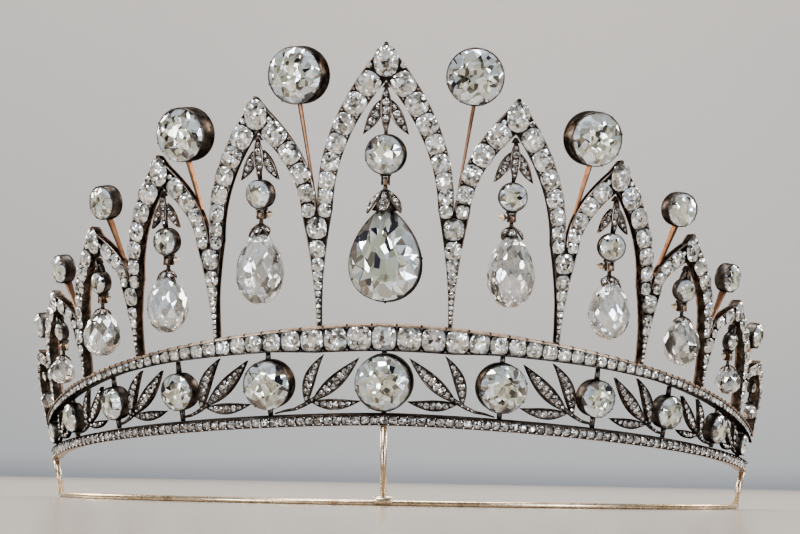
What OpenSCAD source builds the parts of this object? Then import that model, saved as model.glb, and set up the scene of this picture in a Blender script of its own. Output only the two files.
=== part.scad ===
// Diadem of eleven graduated pointed arches, each framing a hanging drop.
// A band of round collets and leaf sprays between two rails carries the arches,
// and a wire base carries the band. The front faces -Y, and Z is up. The origin is at
// the foremost point of the plan oval, on the surface that the base wire stands on.

/* [Plan] */
// Half width of the plan oval that the front follows
plan_a = 68; // [60:1:76]
// Half depth of the plan oval
plan_b = 58; // [52:1:66]
// Height at which the front stands on the plan oval
plan_z = 20; // [16:1:24]
// Outward lean of the whole front, in degrees
lean = 10.7; // [6:0.1:14]
// Plan angle of each end of the band, from the front
end_angle = 78; // [72:1:84]

/* [Rails] */
// Height of the upper rail's top edge at the front
upper_front_z = 30.4; // [29:0.1:32]
// How far the upper rail's top edge drops from the front to its ends
upper_drop = 16.5; // [15:0.1:18]
// Height of the upper rail's own section at the front
upper_rail_h = 4.6; // [4:0.1:5]
// Height of the lower rail's top edge at the front
lower_front_z = 15.4; // [14:0.1:16]
// How far the lower rail's top edge drops from the front to its ends
lower_drop = 6.6; // [6:0.1:7]
// Height of the lower rail's own section
lower_rail_h = 1.9; // [1.6:0.1:2.2]
// Depth of both rails behind the front surface
rail_back = 1.3; // [1.1:0.1:1.6]
// Depth of both rails before the front surface
rail_front = 0.7; // [0.5:0.1:0.9]
// Thickness of the rails' back wall
rail_wall = 0.5; // [0.4:0.05:0.6]
// Thickness of the rails' top and bottom lips
rail_lip = 0.28; // [0.22:0.02:0.34]

/* [Arcade] */
// Height of the front arch above the upper rail
arch_h = 47; // [43:0.2:50]
// Height of an arch's tip above its inner point, at the front
arch_tip_h = 6.4; // [5.6:0.1:7]
// Width of the front arch's limbs near the tip
limb_top_w = 4.2; // [3.6:0.1:4.6]
// Width of the front arch's limbs at the notch
limb_notch_w = 2.6; // [2.2:0.1:3]
// Depth of the arcade's metal
arcade_depth = 1.3; // [1:0.1:1.6]
// Width of a shared stalk where it meets the rail
stalk_foot_w = 0.8; // [0.7:0.1:1.2]
// Width of the knife stems that carry the upper collets
stem_w = 0.45; // [0.35:0.05:0.6]
// Depth of the knife stems below their collets
stem_top_depth = 1.3; // [1:0.1:1.6]
// Depth of the knife stems at the notch
stem_foot_depth = 0.7; // [0.5:0.1:0.9]

/* [Collets] */
// Outer diameter of the front collet in the frieze
frieze_collet_d = 9.6; // [9:0.1:9.8]
// Outer diameter of the tallest pair of stem collets
stem_collet_d = 10.2; // [9:0.1:10.6]
// Outer diameter of the front pendant's collet
pendant_collet_d = 6.8; // [6:0.1:7.2]
// Depth of a collet as a share of its diameter
collet_depth_share = 0.42; // [0.34:0.02:0.5]
// Wall of every collet
collet_wall = 0.4; // [0.3:0.05:0.5]
// Diameter of the posts that join the frieze collets to the rails
frieze_post_d = 0.9; // [0.7:0.1:1.1]

/* [Pendants] */
// Length of the front pear-shaped stone
pear_l = 15.8; // [14:0.1:16.4]
// Width of the front pear-shaped stone
pear_w = 12.0; // [11:0.1:12.6]
// Length of the first pair of drop stones
drop_l = 12.6; // [11:0.1:13]
// Width of the first pair of drop stones
drop_w = 8.2; // [7:0.1:8.6]
// Distance from the front hinge down to the top of the pear-shaped stone
pear_fall = 4.1; // [3.8:0.1:4.6]
// Distance from the first pair's hinges down to the tops of their stones
first_fall = 2.5; // [2.4:0.1:3]
// Diameter of the hinge pins
pin_d = 0.6; // [0.5:0.05:0.7]
// Thickness of the rim around the pear-shaped stone
pear_rim_w = 0.35; // [0.25:0.05:0.45]
// Thickness of the pendants' leaf plates
leaf_t = 0.8; // [0.6:0.1:1]

/* [Base] */
// Diameter of the base wire
wire_d = 1.0; // [0.8:0.1:1.3]
// Diameter of the posts between the base wire and the lower rail
post_d = 1.1; // [0.9:0.1:1.3]
// Diameter of the sleeve that joins the middle post to the wire
sleeve_d = 1.6; // [1.4:0.1:2]
// Length of that sleeve
sleeve_l = 3.2; // [2.6:0.1:4]

/* [Stones] */
// Gap between a stone and the metal that holds it
stone_gap = 0.1; // [0.08:0.01:0.12]
// Gap between one stone and the next
stone_pitch_gap = 0.16; // [0.12:0.02:0.2]
// Height of a cut stone's crown, as a share of its width
crown_share = 0.16; // [0.12:0.01:0.2]
// Width of a cut stone's table, as a share of its width
table_share = 0.52; // [0.45:0.01:0.6]
// Share of the band, from the front, whose upper rail holds large stones
rail_stone_end = 0.58; // [0.4:0.02:0.62]

/* [Hidden] */
// Gap between two pieces of metal that meet
seat_gap = 0.1;
// Gap round a hinge pin and beside its eye
pin_gap = 0.06;
// Facets round a small stone, round a main stone and round the pear-shaped stone
small_sides = 8;
main_sides = 16;
pear_sides = 24;
// Stations along each rail, along each limb of an arch and along each leaf's edge
rail_steps = 44;
limb_steps = 8;
leaf_steps = 7;
// Sides and stations of the base wire
wire_sides = 8;
wire_steps = 40;
$fn = 32;
collet_fn = 48;

// Share of the half band at which each foot of the arcade stands
FOOT_SHARE = [0.116, 0.315, 0.5, 0.675, 0.85, 1];
// Columns: height, tip height and limb width of an arch, as shares of the front arch's
ARCH = [[1, 1, 1], [0.845, 0.98, 0.95], [0.705, 0.93, 0.88],
        [0.53, 0.85, 0.76], [0.385, 0.68, 0.62], [0.25, 0.48, 0.5]];
// Share of the mean height of two neighbouring arches at which they part, the gap
// between them there and the stalk's reach above it
notch_share = 0.45;
notch_gap = 0.25;
notch_reach = 0.8;
// How far each limb runs past its arch's middle, how far a stalk lies behind the limbs'
// front, and how deep a stem is rooted below the notch, as a share of the limbs' width there
limb_lap = 0.05;
stalk_recess = 0.1;
stem_root_share = 0.8;
// Where a stalk bends: share of its height, and share of its widening done by there
STALK_BEND = [0.5, 0.27];
// Height of the upper rail's section along the half band, as a share of its front height
RAIL_H = [[0, 1], [0.12, 0.96], [0.2, 0.8], [0.32, 0.66], [0.42, 0.54], [0.56, 0.42], [1, 0.34]];
// Exponents of the two rails' falling curves
upper_fall = 1.6;
lower_fall = 1.5;
// Columns: diameter share and height share of the arch beside it, and the collet's
// share of the way from the foot to the middle of the next arch
STEM_COLLET = [[1, 0.895, 0.27], [0.96, 0.88, 0.4], [0.62, 0.82, 0.55],
               [0.53, 0.79, 0.45], [0.48, 0.78, 0.3]];
// A collet's section: share of its depth behind the front, its foot's radius and its
// inner seat's depth as shares of its radius and depth, and its stone's pavilion
collet_back_share = 0.6;
collet_foot_share = 0.86;
collet_seat_share = 0.8;
collet_pavilion_share = 0.75;
// Diameter of each frieze collet, as a share of the front one
FRIEZE = [1, 0.88, 0.68, 0.62, 0.56, 0.42];
// Columns for each pendant: collet diameter share, and height of the collet's centre as
// a share of the arch's height
PENDANT = [[1, 0.603], [0.73, 0.584], [0.7, 0.55], [0.6, 0.6], [0.5, 0.575], [0.34, 0.56]];
// Length, width and fall of each pair's drop stones, as shares of the first pair's
DROP = [[1, 1, 1], [0.83, 0.89, 0.75], [0.66, 0.8, 0.66], [0.4, 0.58, 0.64], [0.23, 0.34, 0.26]];
// Depth of the pavilions of the arches' stones
arch_pavilion = 0.75;
// Half height of an arch's tip stone as a share of the metal above the inner point
tip_stone_share = 0.4;
// Upper rail's stones: width as a share of height, and how far the girdle comes
// forward, as a share of the rail's depth before the front surface
rail_stone_aspect = 1.1;
rail_girdle_share = 0.6;

// A leaf spray starts under its frieze collet and fans toward the front of the band.
// Columns are shares: of the way to the next collet, and of the height between the rails
SPRAY_STEM = [[0.03, 0.07], [0.13, 0.09], [0.22, 0.15], [0.34, 0.26]];
// Base, tip and bow of each leaf, the bow as a share of the leaf's length
SPRAY_LEAVES = [[[0.25, 0.16], [0.49, 0.97], -0.1], [[0.31, 0.22], [0.79, 0.9], 0.02],
                [[0.3, 0.2], [0.8, 0.2], 0.06]];
// Width of a leaf as a share of its length, and widths of a spray's stem
leaf_w_share = 0.23;
spray_stem_w = 0.6;
spray_stem_widening = 1.6;
// Trefoil of a pendant. Columns: reach sideways, fall and bow of its side leaves, as
// shares of the stem's length
TREFOIL = [[-0.36, 0.52, 0.06], [0.36, 0.52, -0.06]];
// Where the side leaves part from the stem, and the widths of the middle and side leaves
trefoil_part = 0.62;
trefoil_leaf_w = [0.24, 0.17];
// Width of the trefoil's stem at its top, and its gap to the arch's inner point
trefoil_top_w = 0.2;
trefoil_apex_gap = 0.3;

// Hinge of a drop: thickness of its eye and of the fork's ears, half depth of the ears,
// wall of the eye, room between the eye and the collet above it, and radius of the neck
eye_t = 0.7;
ear_t = 0.3;
ear_half_depth = 0.65;
eye_wall = 0.4;
eye_clear = 0.35;
neck_r = 0.35;
// Share of the ears' thickness that the pin goes into
pin_seat_share = 0.8;
// Length of the tab beside a fork, as a share of the eye's radius
tab_share = 1.2;
// Angle from a drop's top down to the edge of its cap, and the slope left below the eye
cap_angle = 30;
cap_slope = 0.3;
// How sharply the upper end of the pear and of the other drops tapers
pear_taper = 0.6;
drop_taper = 0.35;
// Height of the pear's widest place as a share of its length, its depth behind the
// girdle as a share of its width, and the depth of its rim
pear_middle = 0.6;
pear_depth_share = 0.3;
pear_rim_depth = 1.4;
// Angles from a drop's top at which its rings of facets lie
DROP_RINGS = [30, 55, 80, 105, 130, 155];

function heading(t) = atan2(plan_b * sin(t), plan_a * cos(t));
function out_dir(t) = [sin(heading(t)), -cos(heading(t)), 0];
function along_dir(t) = [cos(heading(t)), sin(heading(t)), 0];
function up_dir(t) = cos(lean) * [0, 0, 1] + sin(lean) * out_dir(t);
function face_dir(t) = cos(lean) * out_dir(t) - sin(lean) * [0, 0, 1];
function lean_offset(z) = (z - plan_z) * tan(lean);
// Point of the leaning front surface at plan angle t and height z
function front_point(t, z) =
    [plan_a * sin(t), plan_b * (1 - cos(t)), z] + lean_offset(z) * out_dir(t);
// Length along the front of one degree of plan angle at height z
function mm_per_deg(t, z) =
    let (speed = norm([plan_a * cos(t), plan_b * sin(t)]))
    (speed + lean_offset(z) * plan_a * plan_b / (speed * speed)) * PI / 180;

function band_share(t) = abs(t) / end_angle;
function upper_top_z(t) = upper_front_z - upper_drop * pow(band_share(t), upper_fall);
function upper_h(t) = upper_rail_h * lookup(band_share(t), RAIL_H);
function upper_bottom_z(t) = upper_top_z(t) - upper_h(t) * cos(lean);
function lower_top_z(t) = lower_front_z - lower_drop * pow(band_share(t), lower_fall);
function lower_bottom_z(t) = lower_top_z(t) - lower_rail_h * cos(lean);

// Plan angle of foot k, counted from 1 on each side, and of the middle of arch k
function foot_angle(k) = end_angle * FOOT_SHARE[k - 1];
function arch_angle(k) = k == 0 ? 0 : (foot_angle(k) + foot_angle(k + 1)) / 2;
function arch_height(k) = arch_h * ARCH[k][0];
function arch_rail_z(k) = upper_top_z(arch_angle(k));
function tip_z(k) = arch_rail_z(k) + arch_height(k) * cos(lean);
function inner_z(k) = tip_z(k) - arch_tip_h * ARCH[k][1] * cos(lean);
function limb_w(k, q) = ARCH[k][2] * (limb_notch_w + (limb_top_w - limb_notch_w) * q);
// Height of the notch above foot k; the last foot has one arch only
function notch_z(k) =
    let (low = k == 6 ? arch_height(5) : (arch_height(k) + arch_height(k - 1)) / 2)
    upper_top_z(foot_angle(k)) + notch_share * low * cos(lean);

// Middle line of a limb: q is 0 at the notch and 1 at the arch's middle, and
// toward is -1 for the limb nearer the front of the band and 1 for the other
function limb_foot(k, toward) = k == 0 || toward < 0 ? max(k, 1) : k + 1;
function limb_edge(k, toward) =
    k == 0 ? toward * foot_angle(1) : foot_angle(limb_foot(k, toward));
function limb_t(k, toward, q) =
    let (edge = limb_edge(k, toward),
         inset = (limb_w(k, 0) + notch_gap) / 2 / mm_per_deg(edge, notch_z(limb_foot(k, toward))),
         start = edge - toward * inset)
    arch_angle(k) + (start - arch_angle(k)) * (1 - q * q);
function limb_z(k, toward, q) =
    let (z0 = notch_z(limb_foot(k, toward)))
    z0 + q * ((tip_z(k) + inner_z(k)) / 2 - z0);
function limb_point(k, toward, q) = front_point(limb_t(k, toward, q), limb_z(k, toward, q));

// Four corners of the arcade's section across the line through a in direction d
function section(a, d, face, w, front, back) =
    let (across = cross(d, face) * w / 2 / norm(cross(d, face)))
    [a + across + front * face, a - across + front * face,
     a - across - back * face, a + across - back * face];

// Closed block between two four-cornered sections
module block(a, b) {
    hull() polyhedron(concat(a, b), [[0, 1, 2, 3], [7, 6, 5, 4], [0, 4, 5, 1],
                                     [1, 5, 6, 2], [2, 6, 7, 3], [3, 7, 4, 0]]);
}

function limb_section(k, toward, q) =
    let (dq = 0.02,
         d = limb_point(k, toward, q + dq) - limb_point(k, toward, q - dq),
         t = limb_t(k, toward, q))
    section(limb_point(k, toward, q), d, face_dir(t), limb_w(k, q), 0, arcade_depth);

// Section just past the arch's own middle plane, where its two limbs run into each other
function tip_section(k, toward) =
    let (t = arch_angle(k), face = face_dir(t), past = -toward * limb_lap * along_dir(t),
         high = front_point(t, tip_z(k)) + past, low = front_point(t, inner_z(k)) + past,
         back = arcade_depth * face)
    toward > 0 ? [high, low, low - back, high - back] : [low, high, high - back, low - back];

// Closed bar swept through four-cornered sections
module bar(sections) {
    last = len(sections) - 1;
    sides = [for (i = [0 : last - 1], j = [0 : 3])
        each let (a = 4 * i + j, b = 4 * i + (j + 1) % 4) [[a, b, b + 4], [a, b + 4, a + 4]]];
    polyhedron([for (s = sections) each s],
               concat(sides, [[3, 2, 1, 0], [for (j = [0 : 3]) 4 * last + j]]));
}

module limb(k, toward) {
    bar(concat([for (i = [0 : limb_steps - 1]) limb_section(k, toward, i / limb_steps)],
               [tip_section(k, toward)]));
}

function stalk_w(k, share) =
    let (top = k == 6 ? limb_w(5, 0) : limb_w(k - 1, 0) + limb_w(k, 0) + notch_gap)
    stalk_foot_w + (top - stalk_foot_w) * share;
function stalk_t(k, z) =
    k == 6 ? foot_angle(6) - (limb_w(5, 0) + notch_gap) / 2 / mm_per_deg(foot_angle(6), z)
           : foot_angle(k);
function stalk_section(k, z, share) =
    let (t = stalk_t(k, z))
    section(front_point(t, z), up_dir(t), face_dir(t), stalk_w(k, share),
            -stalk_recess, arcade_depth - stalk_recess);

// Height of a stalk's foot, clear of the falling rail under its inner corner
function stalk_foot_z(k) =
    let (z = upper_top_z(foot_angle(k)), t = stalk_t(k, z))
    upper_top_z(t - stalk_foot_w / 2 / mm_per_deg(t, z)) + seat_gap;

// Shared stalk under a notch, which tapers down to its foot on the upper rail
module stalk(k) {
    foot_z = stalk_foot_z(k);
    top_z = notch_z(k) + notch_reach;
    mid_z = foot_z + (top_z - foot_z) * STALK_BEND[0];
    bar([stalk_section(k, foot_z, 0), stalk_section(k, mid_z, STALK_BEND[1]),
         stalk_section(k, top_z, 1)]);
}

function stem_collet_r(k) = stem_collet_d / 2 * STEM_COLLET[k - 1][0];
function stem_collet_t(k) =
    foot_angle(k) + STEM_COLLET[k - 1][2] * (arch_angle(k) - foot_angle(k));
function stem_collet_z(k) =
    upper_top_z(foot_angle(k)) + arch_height(k - 1) * STEM_COLLET[k - 1][1] * cos(lean);

// Knife-edged stem from the notch up to its collet
module stem(k) {
    top_z = stem_collet_z(k) - (stem_collet_r(k) + seat_gap) * cos(lean);
    low = front_point(foot_angle(k), notch_z(k) - limb_notch_w * stem_root_share);
    top = front_point(stem_collet_t(k), top_z);
    face = face_dir(foot_angle(k));
    mid = arcade_depth / 2;
    block(section(low, top - low, face, stem_w, stem_foot_depth / 2 - mid, stem_foot_depth / 2 + mid),
          section(top, top - low, face, stem_w, stem_top_depth / 2 - mid, stem_top_depth / 2 + mid));
}

module half_arcade() {
    for (k = [1 : 5]) {
        for (toward = [-1, 1]) {
            limb(k, toward);
        }
        stem(k);
    }
    for (k = [1 : 6]) {
        stalk(k);
    }
    limb(0, 1);
}

module arcade() {
    color("dimgray") {
        half_arcade();
        mirror([1, 0, 0]) half_arcade();
    }
}

// Sweep of a rail's closed section: each section point is a depth before the front
// surface and a distance down from the rail's top edge
function rail_ring(t, z, profile) =
    [for (p = profile) front_point(t, z) + p[0] * face_dir(t) - p[1] * up_dir(t)];
function channel(h) =
    [[rail_front, 0], [-rail_back, 0], [-rail_back, h], [rail_front, h],
     [rail_front, h - rail_lip], [rail_wall - rail_back, h - rail_lip],
     [rail_wall - rail_back, rail_lip], [rail_front, rail_lip]];

module rail(upper) {
    n = len(channel(1));
    angles = [for (i = [0 : rail_steps]) end_angle * (2 * i / rail_steps - 1)];
    points = [for (t = angles)
        each rail_ring(t, upper ? upper_top_z(t) : lower_top_z(t),
                       channel(upper ? upper_h(t) : lower_rail_h))];
    sides = [for (i = [0 : rail_steps - 1], j = [0 : n - 1])
        each let (a = i * n + j, b = i * n + (j + 1) % n) [[a, b, b + n], [a, b + n, a + n]]];
    first = [for (j = [n - 1 : -1 : 0]) j];
    last = [for (j = [0 : n - 1]) rail_steps * n + j];
    polyhedron(points, concat(sides, [first, last]));
}

module upper_rail() {
    color("goldenrod") rail(true);
}

module lower_rail() {
    color("goldenrod") rail(false);
}

// Cut stone in the frame of the front: x runs along the band and y up it, and z out
// of it. It has a table, a crown and a pavilion that ends in a point.
function ring_points(sides, rx, ry, z) =
    [for (i = [0 : sides - 1])
        let (a = 360 * (i + 0.5) / sides) [rx * cos(a), ry * sin(a), z]];
function small_stone(rx, ry, depth, sides = small_sides) =
    let (r = min(rx, ry), crown = 2 * crown_share * r)
    concat(ring_points(sides, table_share * rx, table_share * ry, crown),
           ring_points(sides, rx, ry, 0), [[0, 0, -depth]]);
function small_faces(base, sides = small_sides) =
    concat([[for (i = [sides - 1 : -1 : 0]) base + i]],
           [for (i = [0 : sides - 1])
               let (j = (i + 1) % sides) [base + i, base + j, base + sides + j, base + sides + i]],
           [for (i = [0 : sides - 1])
               let (j = (i + 1) % sides) [base + sides + i, base + sides + j, base + 2 * sides]]);
function set_in_front(points, t, z, off) =
    [for (p = points)
        front_point(t, z) + p[0] * along_dir(t) + p[1] * up_dir(t) + (p[2] + off) * face_dir(t)];

// A field of small stones as one list; each place is angle, height, half width,
// half height, depth of the pavilion and height of the girdle before the front
module stone_field(places) {
    count = 2 * small_sides + 1;
    points = [for (p = places)
        each set_in_front(small_stone(p[2], p[3], p[4]), p[0], p[1], p[5])];
    faces = [for (i = [0 : len(places) - 1]) each small_faces(i * count)];
    polyhedron(points, faces);
}

// Running list of [distance from the arch's middle, q] down a limb
function limb_lengths(k, toward) =
    let (n = 24)
    [for (i = 0, s = 0; i <= n;
          s = s + norm(limb_point(k, toward, 1 - i / n) - limb_point(k, toward, 1 - (i + 1) / n)),
          i = i + 1) [s, 1 - i / n]];
function arch_stone_r(k, q) = limb_w(k, q) / 2 - stone_gap / 2;
function tip_stone_ry(k) = arch_tip_h * ARCH[k][1] * tip_stone_share;
function limb_stones(k, toward, table, s) =
    let (q = lookup(s, table), r = arch_stone_r(k, q))
    s + r > table[len(table) - 1][0] ? [] :
    let (next_r = arch_stone_r(k, lookup(s + 2 * r, table)))
    concat([[limb_t(k, toward, q), limb_z(k, toward, q), r, r,
             arch_pavilion, arch_pavilion + stone_gap]],
           limb_stones(k, toward, table, s + r + next_r + stone_pitch_gap));
function arch_stones_of(k, toward) =
    let (table = limb_lengths(k, toward), first = tip_stone_ry(k) + stone_pitch_gap,
         first_q = lookup(first + limb_top_w / 2, table))
    limb_stones(k, toward, table, first + arch_stone_r(k, first_q));
function tip_stone(k) =
    [arch_angle(k), (tip_z(k) + inner_z(k)) / 2, arch_stone_r(k, 1), tip_stone_ry(k),
     arch_pavilion, arch_pavilion + stone_gap];
function side_stones() =
    [for (k = [1 : 5])
        each concat([tip_stone(k)], arch_stones_of(k, -1), arch_stones_of(k, 1))];

module arch_stones_centre() {
    color("white")
        stone_field(concat([tip_stone(0)], arch_stones_of(0, 1), arch_stones_of(0, -1)));
}

module arch_stones_right() {
    color("white") stone_field(side_stones());
}

module arch_stones_left() {
    color("white") mirror([1, 0, 0]) stone_field(side_stones());
}

// Upper rail's stones, the widest at the front, each as wide as the rail is high
function rail_stone_ry(t) = upper_h(t) / 2 - rail_lip - stone_gap;
function rail_stone_rx(t) = rail_stone_ry(t) * rail_stone_aspect;
function rail_stone_angles(t) =
    t > rail_stone_end * end_angle ? [] :
    let (z = upper_top_z(t), r = rail_stone_rx(t),
         next = rail_stone_rx(t + 2 * r / mm_per_deg(t, z)))
    concat([t], rail_stone_angles(t + (r + next + stone_pitch_gap) / mm_per_deg(t, z)));
function rail_stone(t) =
    let (girdle = rail_front * rail_girdle_share,
         pavilion = rail_back - rail_wall - stone_gap + girdle)
    [t, upper_top_z(t) - upper_h(t) / 2 * cos(lean), rail_stone_rx(t), rail_stone_ry(t),
     pavilion, girdle];

module upper_rail_stones() {
    half = rail_stone_angles(0);
    all = concat([for (i = [len(half) - 1 : -1 : 1]) -half[i]], half);
    color("white") stone_field([for (t = all) rail_stone(t)]);
}

// Frame of the front at angle t and height z: x along the band, y inward, z up it
module on_front(t, z) {
    translate(front_point(t, z)) rotate([lean, 0, heading(t)]) children();
}

// Same place, but upright as a thing that hangs
module hanging(t, z) {
    translate(front_point(t, z)) rotate([0, 0, heading(t)]) children();
}

// Open-backed cup that holds a round stone; its axis is y and its mouth faces -y
module collet(r) {
    depth = 2 * r * collet_depth_share;
    foot = r * collet_foot_share;
    rotate([90, 0, 0]) translate([0, 0, -depth * collet_back_share])
        rotate_extrude($fn = collet_fn)
            polygon([[foot - collet_wall, 0], [foot, 0], [r, depth], [r - collet_wall / 2, depth],
                     [r - collet_wall, depth * collet_seat_share]]);
}

// Round stone of a collet of outer radius r, with a table, 24 crown facets and a pavilion
module collet_stone(r) {
    girdle = r - collet_wall - stone_gap;
    depth = 2 * r * collet_depth_share;
    half = main_sides / 2;
    crown = 2 * crown_share * girdle;
    table = [for (i = [0 : half - 1]) let (a = 360 * i / half)
        [table_share * girdle * cos(a), table_share * girdle * sin(a), crown]];
    edge = [for (i = [0 : main_sides - 1]) let (a = 360 * i / main_sides)
        [girdle * cos(a), girdle * sin(a), 0]];
    crown_faces = [for (i = [0 : half - 1])
        each let (a = i, b = (i + 1) % half, g = half + 2 * i,
                  h = half + 2 * i + 1, j = half + (2 * i + 2) % main_sides)
            [[a, h, g], [a, b, h], [b, j, h]]];
    pavilion = [for (i = [0 : main_sides - 1])
        [half + i, half + (i + 1) % main_sides, half + main_sides]];
    rotate([90, 0, 0]) translate([0, 0, depth * (1 - collet_back_share) - collet_wall])
        polyhedron(concat(table, edge, [[0, 0, -depth * collet_pavilion_share]]),
                   concat([[for (i = [half - 1 : -1 : 0]) i]], crown_faces, pavilion));
}

function frieze_r(k) = frieze_collet_d / 2 * FRIEZE[k];
function frieze_z(k) =
    (upper_bottom_z(arch_angle(k)) + lower_top_z(arch_angle(k))) / 2;

// Frieze collet with the posts that reach for the two rails
module frieze_collet(k) {
    t = arch_angle(k);
    r = frieze_r(k);
    beside = frieze_post_d / 2 / mm_per_deg(t, frieze_z(k));
    room = min(upper_bottom_z(t + beside) - frieze_z(k), frieze_z(k) - lower_top_z(t - beside));
    up = room / cos(lean) - seat_gap;
    post_at = r - collet_wall / 2;
    on_front(t, frieze_z(k)) {
        collet(r);
        for (end = [0, 180]) {
            rotate([0, end, 0]) translate([0, 0, post_at])
                cylinder(h = up - post_at, d = frieze_post_d);
        }
    }
}

module frieze_collets() {
    color("dimgray") {
        for (k = [0 : 5]) {
            frieze_collet(k);
        }
        mirror([1, 0, 0]) for (k = [1 : 5]) {
            frieze_collet(k);
        }
    }
}

module frieze_stones() {
    color("white") {
        for (k = [0 : 5]) {
            on_front(arch_angle(k), frieze_z(k)) collet_stone(frieze_r(k));
        }
        mirror([1, 0, 0]) for (k = [1 : 5]) {
            on_front(arch_angle(k), frieze_z(k)) collet_stone(frieze_r(k));
        }
    }
}

module stem_collets() {
    color("dimgray") for (side = [0, 1]) {
        mirror([side, 0, 0]) for (k = [1 : 5]) {
            on_front(stem_collet_t(k), stem_collet_z(k)) collet(stem_collet_r(k));
        }
    }
}

module stem_stones() {
    color("white") for (side = [0, 1]) {
        mirror([side, 0, 0]) for (k = [1 : 5]) {
            on_front(stem_collet_t(k), stem_collet_z(k)) collet_stone(stem_collet_r(k));
        }
    }
}

// Outline of a leaf from a to b, as wide as w and bowed sideways by bow
function leaf_outline(a, b, w, bow) =
    let (n = leaf_steps, d = b - a, across = [-d[1], d[0]] / norm(d),
         mid = [for (i = [0 : n]) let (s = i / n) a + s * d + 4 * bow * s * (1 - s) * across],
         half = [for (i = [0 : n]) w / 2 * sin(180 * pow(i / n, 0.85))])
    concat([for (i = [0 : n]) mid[i] + half[i] * across],
           [for (i = [n - 1 : -1 : 1]) mid[i] - half[i] * across]);
// Outline of a tapering stem through the points of path
function stem_outline(path, w0, w1) =
    let (n = len(path) - 1,
         side = [for (i = [0 : n])
             let (d = path[min(i + 1, n)] - path[max(i - 1, 0)]) [-d[1], d[0]] / norm(d)])
    concat([for (i = [0 : n]) path[i] + side[i] * (w0 + (w1 - w0) * i / n) / 2],
           [for (i = [n : -1 : 0]) path[i] - side[i] * (w0 + (w1 - w0) * i / n) / 2]);

// Share of the way to the next collet at which the spray's stem clears its own collet
function spray_start(k) =
    let (t = arch_angle(k), r = frieze_r(k) + 5 * seat_gap,
         height = (upper_bottom_z(t) - lower_top_z(t)) / cos(lean),
         fall = height * (0.5 - SPRAY_STEM[1][1]) - spray_stem_w,
         way = norm(front_point(t, frieze_z(k)) - front_point(arch_angle(k - 1), frieze_z(k))))
    fall < r ? sqrt(r * r - fall * fall) / way : 0;
function from_start(k, share) = [spray_start(k) + share[0] * (1 - spray_start(k)), share[1]];
function spray_mid_t(k) = (arch_angle(k) + arch_angle(k - 1)) / 2;
function spray_mid_z(k) =
    (upper_bottom_z(spray_mid_t(k)) + lower_top_z(spray_mid_t(k))) / 2;
// Point of the spray's plate, given as the two shares, in the frame at the spray's middle
function spray_point(k, share) =
    let (t = arch_angle(k) + share[0] * (arch_angle(k - 1) - arch_angle(k)),
         low = lower_top_z(t) + seat_gap, high = upper_bottom_z(t) - seat_gap,
         z = low + share[1] * (high - low),
         from_mid = front_point(t, z) - front_point(spray_mid_t(k), spray_mid_z(k)))
    [from_mid * along_dir(spray_mid_t(k)), from_mid * up_dir(spray_mid_t(k))];

// Leaf spray that starts under frieze collet k
module spray(k) {
    on_front(spray_mid_t(k), spray_mid_z(k)) rotate([90, 0, 0])
        translate([0, 0, -leaf_t - seat_gap]) linear_extrude(leaf_t) {
            polygon(stem_outline([for (p = SPRAY_STEM) spray_point(k, from_start(k, p))],
                                 spray_stem_w, spray_stem_w * spray_stem_widening));
            for (leaf = SPRAY_LEAVES) {
                a = spray_point(k, from_start(k, leaf[0]));
                b = spray_point(k, leaf[1]);
                polygon(leaf_outline(a, b, leaf_w_share * norm(b - a), leaf[2] * norm(b - a)));
            }
        }
}

module leaf_sprays_right() {
    color("dimgray") for (k = [1 : 5]) {
        spray(k);
    }
}

module leaf_sprays_left() {
    color("dimgray") mirror([1, 0, 0]) for (k = [1 : 5]) {
        spray(k);
    }
}

// Sizes of pendant k: its round collet, the eye its drop hangs by, and the drop
function eye_r() = pin_d / 2 + pin_gap + eye_wall;
function pendant_r(k) = pendant_collet_d / 2 * PENDANT[k][0];
function pendant_z(k) = arch_rail_z(k) + PENDANT[k][1] * arch_height(k) * cos(lean);
function hinge_fall(k) = pendant_r(k) + eye_r() + eye_clear;
function hinge_z(k) = pendant_z(k) - hinge_fall(k) * cos(lean);
function drop_length(k) = k == 0 ? pear_l : drop_l * DROP[k - 1][0];
function drop_width(k) = k == 0 ? pear_w : drop_w * DROP[k - 1][1];
// Distance from the hinge down to the top of the drop stone
function drop_fall(k) = k == 0 ? pear_fall : first_fall * DROP[k - 1][2];

// Half width of a drop, at angle a from its top, as a share of its greatest half width
function drop_shape(a, taper) = sin(a) * pow(sin(a / 2), taper);
function drop_half(a, taper) =
    drop_shape(a, taper) / max([for (b = [70 : 5 : 130]) drop_shape(b, taper)]);

// Leaf trefoil of a pendant: three leaves that point down from its stem
module trefoil(k) {
    base = 0.9 * pendant_r(k) - collet_wall / 2;
    top = (inner_z(k) - pendant_z(k)) / cos(lean) - trefoil_apex_gap;
    stem = top - base;
    fork = [0, base + trefoil_part * stem];
    rotate([90, 0, 0]) translate([0, 0, -leaf_t - seat_gap]) linear_extrude(leaf_t) {
        polygon(stem_outline([[0, base], [0, top]], spray_stem_w, trefoil_top_w));
        if (k < 4) {
            polygon(leaf_outline([0, base], fork, trefoil_leaf_w[0] * stem, 0));
            for (leaf = TREFOIL) {
                polygon(leaf_outline(fork, fork + stem * [leaf[0], -leaf[1]],
                                     trefoil_leaf_w[1] * stem, leaf[2] * stem));
            }
        }
    }
}

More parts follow.
